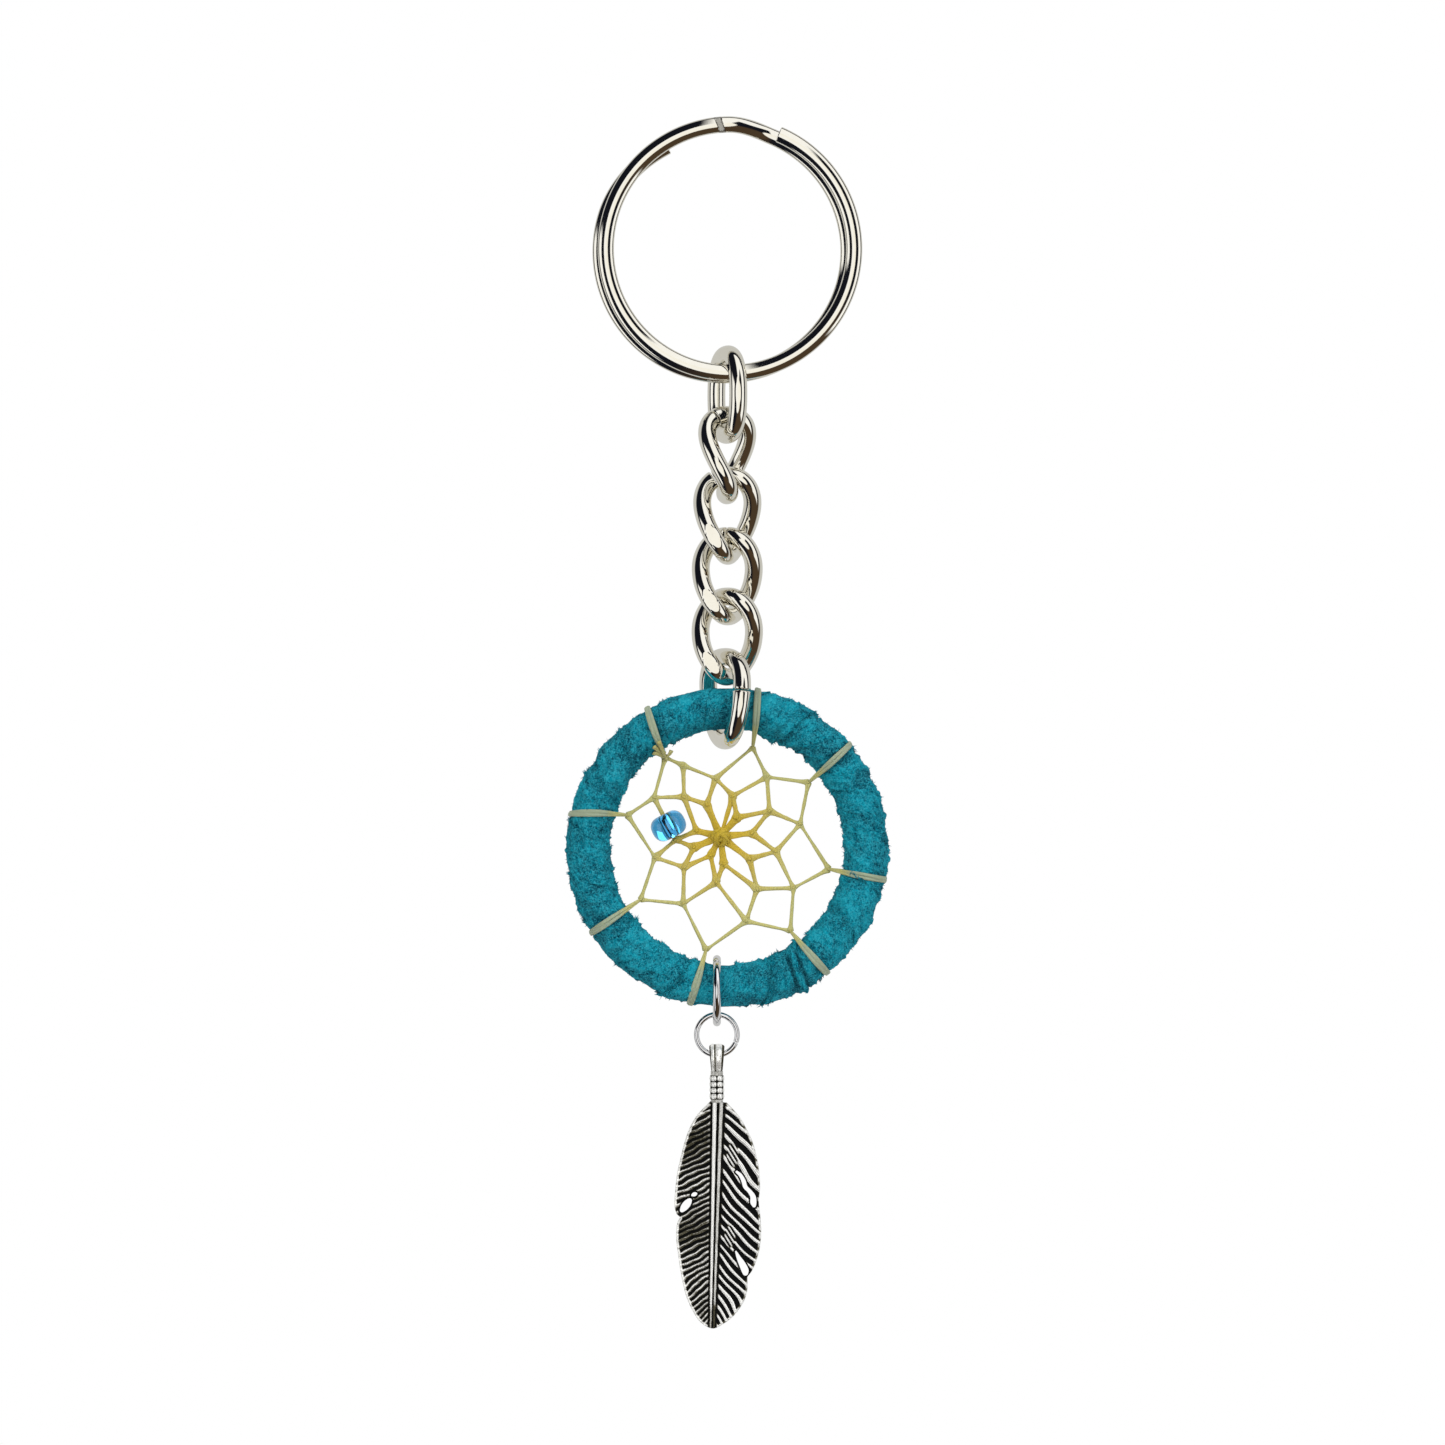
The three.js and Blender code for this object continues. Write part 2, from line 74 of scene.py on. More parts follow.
# ---- Numbers ------------------------------------------------------------------------------------


def unit(vectors: Array) -> Array:
    """Each vector divided by its own length."""
    return vectors / np.maximum(np.linalg.norm(vectors, axis=-1, keepdims=True), 1e-12)


def smooth(values: Array, low: float, high: float) -> Array:
    """0 up to low, 1 from high on, and 3s^2 - 2s^3 between them."""
    share = np.clip((values - low) / (high - low), 0.0, 1.0)
    return share * share * (3.0 - 2.0 * share)


def hump(values: Array, middle: float, reach: float) -> Array:
    """A bell that is 1 at the middle and falls to 1/e at the reach."""
    return np.exp(-(((values - middle) / reach) ** 2))


def soft_noise(rng: np.random.Generator, shape: tuple[int, ...], reach: tuple[float, ...]) -> Array:
    """White noise blurred by a bell, with no seam at its ends.

    Args:
        rng: the source of the noise.
        shape: how many samples along each axis.
        reach: the bell's spread along each axis, in samples.

    Returns:
        The noise, with a mean of 0 and a spread of 1.
    """
    waves = np.meshgrid(*[np.fft.fftfreq(count) for count in shape], indexing="ij")
    bell = np.exp(-2.0 * np.pi**2 * sum((wave * r) ** 2 for wave, r in zip(waves, reach)))
    blurred = np.fft.ifftn(np.fft.fftn(rng.standard_normal(shape)) * bell).real
    return (blurred - blurred.mean()) / blurred.std()


def node_box(node: str) -> tuple[Array, Array]:
    """Lowest and highest corner of a CAD node, in millimetres."""
    low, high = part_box(node)
    return np.array(low) / MM, np.array(high) / MM


def linear(red: int, green: int, blue: int) -> tuple[float, float, float, float]:
    """A screen colour from 0 to 255, as the linear colour that a shader takes."""
    share = np.array([red, green, blue]) / 255.0
    flat = np.where(share <= 0.04045, share / 12.92, ((share + 0.055) / 1.055) ** 2.4)
    return (float(flat[0]), float(flat[1]), float(flat[2]), 1.0)


# ---- Surfaces -----------------------------------------------------------------------------------


@dataclass
class Shell:
    """A closed surface in millimetres, with values that belong to its points."""

    points: Array
    faces: list[Array]
    marks: dict[str, Array] = field(default_factory=dict)

    def turned_out(self) -> "Shell":
        """This shell with its faces turned so that the volume they enclose is positive."""
        middle = self.points.mean(axis=0)
        volume = 0.0
        for block in self.faces:
            corners = self.points[block] - middle
            for k in range(1, block.shape[1] - 1):
                cross = np.cross(corners[:, k], corners[:, k + 1])
                volume += float(np.einsum("ij,ij->", corners[:, 0], cross))
        if volume < 0.0:
            self.faces = [block[:, ::-1] for block in self.faces]
        return self

    def marked(self, **marks: Array | float) -> "Shell":
        """This shell with more values on its points, one number or one for each point."""
        for name, values in marks.items():
            self.marks[name] = np.broadcast_to(values, len(self.points)).astype(float)
        return self


def joined(shells: list[Shell]) -> Shell:
    """Several shells as one. A value that a shell lacks is 0 on it."""
    starts = np.cumsum([0] + [len(shell.points) for shell in shells])
    names = sorted({name for shell in shells for name in shell.marks})
    return Shell(
        np.concatenate([shell.points for shell in shells]),
        [block + start for shell, start in zip(shells, starts) for block in shell.faces],
        {
            name: np.concatenate([
                shell.marks.get(name, np.zeros(len(shell.points))) for shell in shells
            ])
            for name in names
        },
    )


def grid_quads(rows: int, columns: int, ring_rows: bool, ring_columns: bool) -> Array:
    """The quads of a grid of points numbered row by row.

    Args:
        rows: how many rows of points.
        columns: how many points in a row.
        ring_rows: whether the last row joins the first.
        ring_columns: whether the last point of a row joins its first.

    Returns:
        Four point numbers for each quad.
    """
    row, column = np.meshgrid(
        np.arange(rows if ring_rows else rows - 1),
        np.arange(columns if ring_columns else columns - 1),
        indexing="ij",
    )
    below, right = (row + 1) % rows, (column + 1) % columns
    corners = [row * columns + column, row * columns + right,
               below * columns + right, below * columns + column]
    return np.stack(corners, axis=-1).reshape(-1, 4)


def capped(points: Array, ends: Array) -> Shell:
    """A tube of rings of points, closed at both ends by fans round a middle point.

    Args:
        points: rings by points by 3.
        ends: the middle points of the first and the last ring.

    Returns:
        The closed tube.
    """
    rows, columns = points.shape[:2]
    rim = np.arange(columns)
    after = (rim + 1) % columns
    last = (rows - 1) * columns
    fans = np.concatenate([
        np.stack([after, rim, np.full(columns, rows * columns)], axis=1),
        np.stack([rim + last, after + last, np.full(columns, rows * columns + 1)], axis=1),
    ])
    flat = np.concatenate([points.reshape(-1, 3), ends])
    return Shell(flat, [grid_quads(rows, columns, False, True), fans]).turned_out()


def oval(sides: int, power: float = 1.0) -> Array:
    """Points round a circle, cos and sin each raised to a power: under 1 is squarer."""
    turn = 2.0 * np.pi * np.arange(sides) / sides
    both = np.stack([np.cos(turn), np.sin(turn)], axis=1)
    return np.sign(both) * np.abs(both) ** power


def carried(path: Array, side: Array, across: Array | float, deep: Array | float,
            section: Array, ring: bool = False) -> Shell:
    """A section carried along a path.

    A point is the path's point plus the section's first value times across along the side, plus its
    second value times deep along the side crossed with the path's direction.

    Args:
        path: the path's points.
        side: the section's first direction at each of them, squared off here against the path.
        across: half the section's width along the side.
        deep: half its width along the other direction.
        section: the section's points for half widths of 1.
        ring: whether the path's end joins its start.

    Returns:
        The closed tube.
    """
    if ring:
        ahead = unit(np.roll(path, -1, axis=0) - np.roll(path, 1, axis=0))
    else:
        ahead = unit(np.gradient(path, axis=0))
    side = unit(side - (side * ahead).sum(axis=-1, keepdims=True) * ahead)
    other = np.cross(side, ahead)
    wide = np.broadcast_to(across, len(path))[:, None] * section[None, :, 0]
    thick = np.broadcast_to(deep, len(path))[:, None] * section[None, :, 1]
    points = path[:, None] + side[:, None] * wide[..., None] + other[:, None] * thick[..., None]
    if ring:
        rows, columns = points.shape[:2]
        return Shell(points.reshape(-1, 3), [grid_quads(rows, columns, True, True)]).turned_out()
    return capped(points, path[[0, -1]])


def wire(path: Course, outward: Course, across: float, deep: float, section: Array, step: float,
         blunt: float, least: float) -> Shell:
    """A wire whose rings stand evenly along its course, closer where its ends round off.

    Args:
        path: the course for an array of shares from 0 to 1.
        outward: the direction of the section's width there.
        across: half the width.
        deep: half the depth.
        section: the section's points for half widths of 1.
        step: the distance between rings.
        blunt: how far from an end the wire starts to round off.
        least: the size of the end itself, as a share of the wire.

    Returns:
        The closed wire.
    """
    fine = np.linspace(0.0, 1.0, 8001)
    lengths = np.linalg.norm(np.diff(path(fine), axis=0), axis=1)
    run = np.concatenate([[0.0], np.cumsum(lengths)])
    end = blunt * (1.0 - np.cos(np.linspace(0.0, np.pi / 2.0, 7)))
    body = np.linspace(blunt, run[-1] - blunt, max(4, int(run[-1] / step)))[1:-1]
    at = np.concatenate([end, body, run[-1] - end[::-1]])
    share = np.interp(at, run, fine)
    near = np.clip(np.minimum(at, run[-1] - at) / blunt, 0.0, 1.0)
    size = least + (1.0 - least) * np.sqrt(1.0 - (1.0 - near) ** 2)
    return carried(path(share), outward(share), across * size, deep * size, section)


# ---- Finishes -----------------------------------------------------------------------------------


class Nodes:
    """Adds nodes to one shader tree and links them."""

    def __init__(self, tree: bpy.types.NodeTree) -> None:
        """Starts on a tree, which is emptied."""
        self.tree = tree
        tree.nodes.clear()

    def add(self, kind: str, inputs: dict | None = None, **settings: object) -> bpy.types.Node:
        """Adds one node.

        Args:
            kind: the node's type, without its "ShaderNode".
            inputs: values or output sockets for its inputs, by name or number.
            settings: the node's own properties.

        Returns:
            The node.
        """
        prefix = "Node" if kind.startswith("Group") and kind != "Group" else "ShaderNode"
        node = self.tree.nodes.new(prefix + kind)
        for name, value in settings.items():
            setattr(node, name, value)
        for name, value in (inputs or {}).items():
            if isinstance(value, bpy.types.NodeSocket):
                self.tree.links.new(value, node.inputs[name])
            else:
                node.inputs[name].default_value = value
        return node

    def ramp(self, value: bpy.types.NodeSocket, stops: dict[float, tuple]) -> bpy.types.NodeSocket:
        """Colours by a value, from a table of places and colours."""
        node = self.add("ValToRGB", {"Fac": value})
        band = node.color_ramp
        for place, colour in list(stops.items())[2:]:
            band.elements.new(place)
        for element, (place, colour) in zip(band.elements, sorted(stops.items())):
            element.position = place
            element.color = colour
        return node.outputs["Color"]

    def noise(self, vector: bpy.types.NodeSocket, scale: float, detail: float = 3.0,
              rough: float = 0.55) -> bpy.types.NodeSocket:
        """Fractal noise at a place."""
        return self.add("TexNoise", {"Vector": vector, "Scale": scale, "Detail": detail,
                                     "Roughness": rough}).outputs["Fac"]

    def map(self, value: bpy.types.NodeSocket, low: float, high: float, to_low: float,
            to_high: float) -> bpy.types.NodeSocket:
        """A value between low and high, spread from to_low to to_high."""
        return self.add("MapRange", {"Value": value, "From Min": low, "From Max": high,
                                     "To Min": to_low, "To Max": to_high}).outputs["Result"]

    def math(self, operation: str, first: object, second: object = 0.0) -> bpy.types.NodeSocket:
        """One sum of two values."""
        return self.add("Math", {0: first, 1: second}, operation=operation).outputs["Value"]

    def blend(self, share: object, first: object, second: object) -> bpy.types.NodeSocket:
        """Two colours mixed by a share: the sockets are the ones for colours."""
        return self.add("Mix", {0: share, 6: first, 7: second}, data_type="RGBA").outputs[2]

    def attribute(self, name: str) -> bpy.types.NodeSocket:
        """A value that the piece's points carry."""
        return self.add("Attribute", attribute_name=name).outputs["Fac"]

    def place(self) -> bpy.types.NodeSocket:
        """The point's own place, in metres."""
        return self.add("TexCoord").outputs["Object"]

    def bump(self, height: bpy.types.NodeSocket, strength: float,
             distance: float) -> bpy.types.NodeSocket:
        """A normal from a height."""
        return self.add("Bump", {"Height": height, "Strength": strength,
                                 "Distance": distance}).outputs["Normal"]


def new_group(name: str, inputs: dict[str, float], outputs: list[str]) -> tuple[
        bpy.types.NodeTree, Nodes, bpy.types.Node, bpy.types.Node]:
    """A shader group with float sockets.

    Args:
        name: the group's name.
        inputs: each input and its usual value.
        outputs: each output.

    Returns:
        The group, its nodes, its input node and its output node.
    """
    tree = bpy.data.node_groups.new(name, "ShaderNodeTree")
    for socket, value in inputs.items():
        made = tree.interface.new_socket(socket, in_out="INPUT", socket_type="NodeSocketFloat")
        made.default_value = value
    for socket in outputs:
        tree.interface.new_socket(socket, in_out="OUTPUT", socket_type="NodeSocketFloat")
    nodes = Nodes(tree)
    return tree, nodes, nodes.add("GroupInput"), nodes.add("GroupOutput")


class Effects:
    """The shader groups that several finishes share, each built once."""

    def __init__(self) -> None:
        """Builds both groups."""
        self.handling = self._handling()
        self.cloud = self._cloud()

    @staticmethod
    def _handling() -> bpy.types.NodeTree:
        """Marks of handling on metal: fine scratches in two directions and smeared patches."""
        tree, nodes, given, out = new_group(
            "handling_marks", {"Scale": 900.0, "Amount": 0.5}, ["Scratches", "Smears"])
        spot = nodes.place()
        lines = []
        for turn, stretch in ((0.5, (1.0, 14.0, 9.0)), (-0.9, (12.0, 1.0, 16.0))):
            laid = nodes.add("Mapping", {"Vector": spot, "Rotation": (turn, turn, 0.4),
                                         "Scale": stretch}).outputs["Vector"]
            grain = nodes.add("TexNoise", {"Vector": laid, "Scale": given.outputs["Scale"],
                                           "Detail": 2.0}).outputs["Fac"]
            lines.append(nodes.map(grain, 0.62, 0.7, 0.0, 1.0))
        both = nodes.math("MAXIMUM", *lines)
        nodes.tree.links.new(nodes.math("MULTIPLY", both, given.outputs["Amount"]),
                             out.inputs["Scratches"])
        patches = nodes.noise(spot, 260.0, 4.0)
        nodes.tree.links.new(nodes.map(patches, 0.4, 0.7, 0.0, 1.0), out.inputs["Smears"])
        return tree

    @staticmethod
    def _cloud() -> bpy.types.NodeTree:
        """Cloudy colour variation: a coarse noise and a fine one, added by weight."""
        tree, nodes, given, out = new_group(
            "cloud", {"Coarse": 700.0, "Fine": 4000.0, "Fine Share": 0.4}, ["Value"])
        spot = nodes.place()
        coarse = nodes.add("TexNoise", {"Vector": spot, "Scale": given.outputs["Coarse"],
                                        "Detail": 3.0}).outputs["Fac"]
        fine = nodes.add("TexNoise", {"Vector": spot, "Scale": given.outputs["Fine"],
                                      "Detail": 2.0}).outputs["Fac"]
        mixed = nodes.add("Mix", {0: given.outputs["Fine Share"], 2: coarse, 3: fine})
        nodes.tree.links.new(mixed.outputs[0], out.inputs["Value"])
        return tree


def new_material(name: str, shader_inputs: dict) -> tuple[bpy.types.Material, Nodes, bpy.types.Node]:
    """A material with one principled shader.

    Args:
        name: the material's name.
        shader_inputs: values for the shader's own sockets.

    Returns:
        The material, its nodes and its shader.
    """
    material = bpy.data.materials.new(name)
    material.use_nodes = True
    nodes = Nodes(material.node_tree)
    shader = nodes.add("BsdfPrincipled", shader_inputs)
    nodes.add("OutputMaterial", {"Surface": shader.outputs["BSDF"]})
    return material, nodes, shader


@dataclass(frozen=True)
class PlatedMetal:
    """Polished plated wire, with smears and fine scratches. The mark "cut" is 1 where a tool has
    left a matt grey face and about 0.5 on its border, which is painted dark as shade along the groove's
    edges."""

    name: str
    bright: tuple
    dull: tuple
    smooth: float
    worn: float
    scratches: float

    def made(self, effects: Effects) -> bpy.types.Material:
        """The material."""
        material, nodes, shader = new_material(self.name, {"Metallic": 1.0})
        marks = nodes.add("Group", node_tree=effects.handling)
        marks.inputs["Amount"].default_value = self.scratches
        cloud = nodes.add("Group", node_tree=effects.cloud)
        colour = nodes.blend(cloud.outputs["Value"], self.bright, self.dull)
        # Painted shade: where the mark is about 0.5, along the groove's border, the colour is painted
        # near black as shade on the groove's edges. The floor gets the cut face's own matt grey.
        cut = nodes.attribute("cut")
        colour = nodes.blend(nodes.map(cut, 0.05, 0.3, 0.0, 1.0), colour,
                             nodes.ramp(cut, {0.3: linear(38, 37, 34), 0.62: linear(204, 202, 195)}))
        link = nodes.tree.links.new
        link(colour, shader.inputs["Base Color"])
        rough = nodes.map(marks.outputs["Smears"], 0.0, 1.0, self.smooth, self.worn)
        rough = nodes.math("ADD", rough, nodes.math("MULTIPLY", marks.outputs["Scratches"], 0.2))
        rough = nodes.math("ADD", rough, nodes.math("MULTIPLY", cut, 0.4))
        link(rough, shader.inputs["Roughness"])
        link(nodes.bump(marks.outputs["Scratches"], 0.06, 0.00002), shader.inputs["Normal"])
        return material


@dataclass(frozen=True)
class AntiqueSilver:
    """Cast silver whose hollows are blackened: the mark "relief" is 0 there and 1 on the ridges, and on
    the shaft also carries a painted highlight.
    """

    name: str
    hollow: tuple
    mid: tuple
    ridge: tuple

    def made(self, effects: Effects) -> bpy.types.Material:
        """The material."""
        material, nodes, shader = new_material(self.name, {"Specular IOR Level": 0.22})
        relief = nodes.attribute("relief")
        cloud = nodes.add("Group", node_tree=effects.cloud)
        cloud.inputs["Fine"].default_value = 7000.0
        cloud.inputs["Fine Share"].default_value = 0.6
        shifted = nodes.math("ADD", relief, nodes.map(cloud.outputs["Value"], 0.3, 0.7, -0.1, 0.1))
        colour = nodes.ramp(shifted, {0.1: self.hollow, 0.34: self.mid, 0.6: self.ridge,
                                      1.0: self.ridge})
        link = nodes.tree.links.new
        link(colour, shader.inputs["Base Color"])
        link(nodes.map(shifted, 0.15, 0.6, 0.25, 0.62), shader.inputs["Metallic"])
        link(nodes.map(shifted, 0.2, 0.75, 0.6, 0.18), shader.inputs["Roughness"])
        marks = nodes.add("Group", node_tree=effects.handling)
        height = nodes.math("ADD", nodes.math("MULTIPLY", marks.outputs["Scratches"], 0.3),
                            cloud.outputs["Value"])
        link(nodes.bump(height, 0.25, 0.00005), shader.inputs["Normal"])
        return material


@dataclass(frozen=True)
class Suede:
    """Dyed suede: the mark "nap" paints light on what stands up and shade in folds and on edges and
    undersides, "along" and "across" lay the streaks.
    """

    name: str
    dark: tuple
    middle: tuple
    light: tuple
    curl: tuple

    def made(self, effects: Effects) -> bpy.types.Material:
        """The material."""
        material, nodes, shader = new_material(self.name, {
            "Roughness": 1.0, "Specular IOR Level": 0.1, "Sheen Weight": 0.05,
            "Sheen Roughness": 0.6, "Sheen Tint": linear(90, 190, 205)})
        lay = nodes.add("CombineXYZ", {"X": nodes.math("MULTIPLY", nodes.attribute("along"), 0.5),
                                       "Y": nodes.attribute("across")}).outputs["Vector"]
        streaks = nodes.noise(lay, 3.6, 5.0, 0.7)
        cloud = nodes.add("Group", node_tree=effects.cloud)
        cloud.inputs["Coarse"].default_value = 900.0
        cloud.inputs["Fine"].default_value = 5200.0
        cloud.inputs["Fine Share"].default_value = 0.72
        tone = nodes.math("ADD", nodes.math("MULTIPLY", streaks, 0.35),
                          nodes.math("MULTIPLY", cloud.outputs["Value"], 0.65))
        # Painted light and shade: the lace is lighter where it stands up and darker in the fold beside
        # the pleat and on its edges and underside. Loose fibres are mostly lighter.
        tone = nodes.math("ADD", tone, nodes.math("MULTIPLY", nodes.attribute("nap"), 0.06))
        patches = nodes.noise(nodes.place(), 330.0, 3.0, 0.55)
        tone = nodes.math("ADD", tone, nodes.map(patches, 0.35, 0.65, -0.055, 0.04))
        colour = nodes.ramp(tone, {0.4: self.dark, 0.5: self.middle, 0.62: self.light})
        for scale, strength in ((1500.0, 0.5), (2700.0, 0.6)):
            swirl = nodes.add("TexNoise", {"Vector": nodes.place(), "Scale": scale, "Detail": 2.0,
                                           "Distortion": 1.4}).outputs["Fac"]
            away = nodes.math("ABSOLUTE", nodes.math("SUBTRACT", swirl, 0.5))
            curls = nodes.map(away, 0.0, 0.045, strength, 0.0)
            colour = nodes.blend(curls, colour, self.curl)
        link = nodes.tree.links.new
        link(colour, shader.inputs["Base Color"])
        link(nodes.bump(nodes.noise(nodes.place(), 7000.0, 3.0, 0.7), 0.55, 0.00012),
             shader.inputs["Normal"])
        return material


@dataclass(frozen=True)
class Sinew:
    """Waxed thread: the mark "gold" deepens it, "over" greys it where it lies on the lace."""

    name: str
    pale: tuple
    gold: tuple
    over: tuple

    def made(self, effects: Effects) -> bpy.types.Material:
        """The material."""
        material, nodes, shader = new_material(self.name, {
            "Specular IOR Level": 0.4, "Subsurface Weight": 0.15,
            "Subsurface Radius": (0.0006, 0.0005, 0.0002), "Subsurface Scale": 1.0})
        cloud = nodes.add("Group", node_tree=effects.cloud)
        cloud.inputs["Coarse"].default_value = 900.0
        cloud.inputs["Fine Share"].default_value = 0.5
        wander = nodes.map(cloud.outputs["Value"], 0.3, 0.7, -0.16, 0.16)
        gold = nodes.math("ADD", nodes.attribute("gold"), wander)
        colour = nodes.ramp(gold, {0.0: self.pale, 0.9: self.gold})
        colour = nodes.blend(nodes.attribute("over"), colour, self.over)
        fibres = nodes.noise(nodes.place(), 5200.0, 4.0, 0.7)
        colour = nodes.blend(nodes.map(fibres, 0.4, 0.75, 0.0, 0.22), colour,
                             linear(112, 104, 52))
        link = nodes.tree.links.new
        link(colour, shader.inputs["Base Color"])
        link(nodes.map(fibres, 0.3, 0.7, 0.38, 0.62), shader.inputs["Roughness"])
        link(nodes.bump(fibres, 0.3, 0.00006), shader.inputs["Normal"])
        return material


@dataclass(frozen=True)
class ColouredGlass:
    """Clear coloured glass with a fire-polished surface."""

    name: str
    colour: tuple

    def made(self, effects: Effects) -> bpy.types.Material:
        """The material."""
        material, nodes, shader = new_material(self.name, {
            "IOR": 1.52, "Transmission Weight": 1.0})
        cloud = nodes.add("Group", node_tree=effects.cloud)
        deep = tuple(0.8 * value for value in self.colour[:3]) + (1.0,)
        link = nodes.tree.links.new
        link(nodes.blend(cloud.outputs["Value"], self.colour, deep), shader.inputs["Base Color"])
        link(nodes.map(cloud.outputs["Value"], 0.3, 0.7, 0.0, 0.03), shader.inputs["Roughness"])
        return material


@dataclass(frozen=True)
class PaleFloor:
    """Plain white card."""

    name: str
    colour: tuple

    def made(self) -> bpy.types.Material:
        """The material."""
        material, nodes, shader = new_material(self.name, {"Roughness": 0.9})
        grain = nodes.noise(nodes.place(), 30.0)
        low = tuple(0.97 * value for value in self.colour[:3]) + (1.0,)
        nodes.tree.links.new(nodes.blend(grain, self.colour, low), shader.inputs["Base Color"])
        return material


class Finish(Enum):
    """The finishes of the key chain's pieces, each with a short name."""

    NICKEL = "nickel"
    CORE = "core_wire"
    SUEDE = "suede_lace"
    SINEW = "sinew"
    GLASS = "bead_glass"
    SILVER = "bright_silver"
    ANTIQUE = "antique_silver"


def make_finishes() -> dict[Finish, bpy.types.Material]:
    """Every finish as a material."""
    effects = Effects()
    recipes = {
        Finish.NICKEL: PlatedMetal("nickel", linear(248, 246, 238), linear(235, 230, 218),
                                   0.03, 0.09, 0.22),
        Finish.CORE: PlatedMetal("core_steel", linear(170, 168, 165), linear(140, 138, 134),
                                 0.3, 0.5, 0.8),
        Finish.SUEDE: Suede("turquoise_suede", linear(0, 54, 72), linear(0, 97, 116),
                            linear(10, 132, 152), linear(58, 168, 186)),
        Finish.SINEW: Sinew("waxed_sinew", linear(176, 173, 112), linear(182, 156, 46),
                            linear(138, 154, 138)),
        Finish.GLASS: ColouredGlass("blue_glass", linear(84, 184, 244)),
        Finish.SILVER: PlatedMetal("bright_silver", linear(244, 244, 246), linear(226, 226, 230),
                                   0.04, 0.12, 0.4),
        Finish.ANTIQUE: AntiqueSilver("antique_silver", linear(2, 3, 4), linear(84, 80, 62),
                                      linear(252, 252, 250)),
    }
    return {finish: recipe.made(effects) for finish, recipe in recipes.items()}


# ---- Pieces -------------------------------------------------------------------------------------


class Bench:
    """Puts finished shells into the scene as pieces that ride on the frame."""

    def __init__(self, finishes: dict[Finish, bpy.types.Material]) -> None:
        """Takes the finishes that the pieces are dressed in."""
        self.finishes = finishes

    def lay(self, shell: Shell, name: str, body: str, finish: Finish,
            stands_for: tuple[str, ...] = (), crease: float | None = None) -> bpy.types.Object:
        """Makes a shell a piece.

        Args:
            shell: the surface.
            name: the piece's name.
            body: the CAD body it rides on.
            finish: what it is dressed in.
            stands_for: the CAD nodes that it replaces.
            crease: the angle in degrees past which an edge is sharp, or None for all smooth.

        Returns:
            The piece.
        """
        mesh = bpy.data.meshes.new(name)
        faces = sum((block.tolist() for block in shell.faces), [])
        mesh.from_pydata((shell.points * MM).tolist(), [], faces)
        for key, values in shell.marks.items():
            layer = mesh.attributes.new(key, "FLOAT", "POINT")
            layer.data.foreach_set("value", values.astype(np.float32))
        mesh.polygons.foreach_set("use_smooth", np.ones(len(mesh.polygons), dtype=bool))
        if crease is not None:
            mesh.set_sharp_from_angle(angle=math.radians(crease))
        mesh.update()
        mesh.materials.append(self.finishes[finish])
        piece = bpy.data.objects.new(name, mesh)
        bpy.context.collection.objects.link(piece)
        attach(piece, body)
        if stands_for:
            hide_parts(*stands_for)
        LOG.info("%s: %d points on %s", name, len(mesh.vertices), body)
        return piece


# ---- Split ring ---------------------------------------------------------------------------------


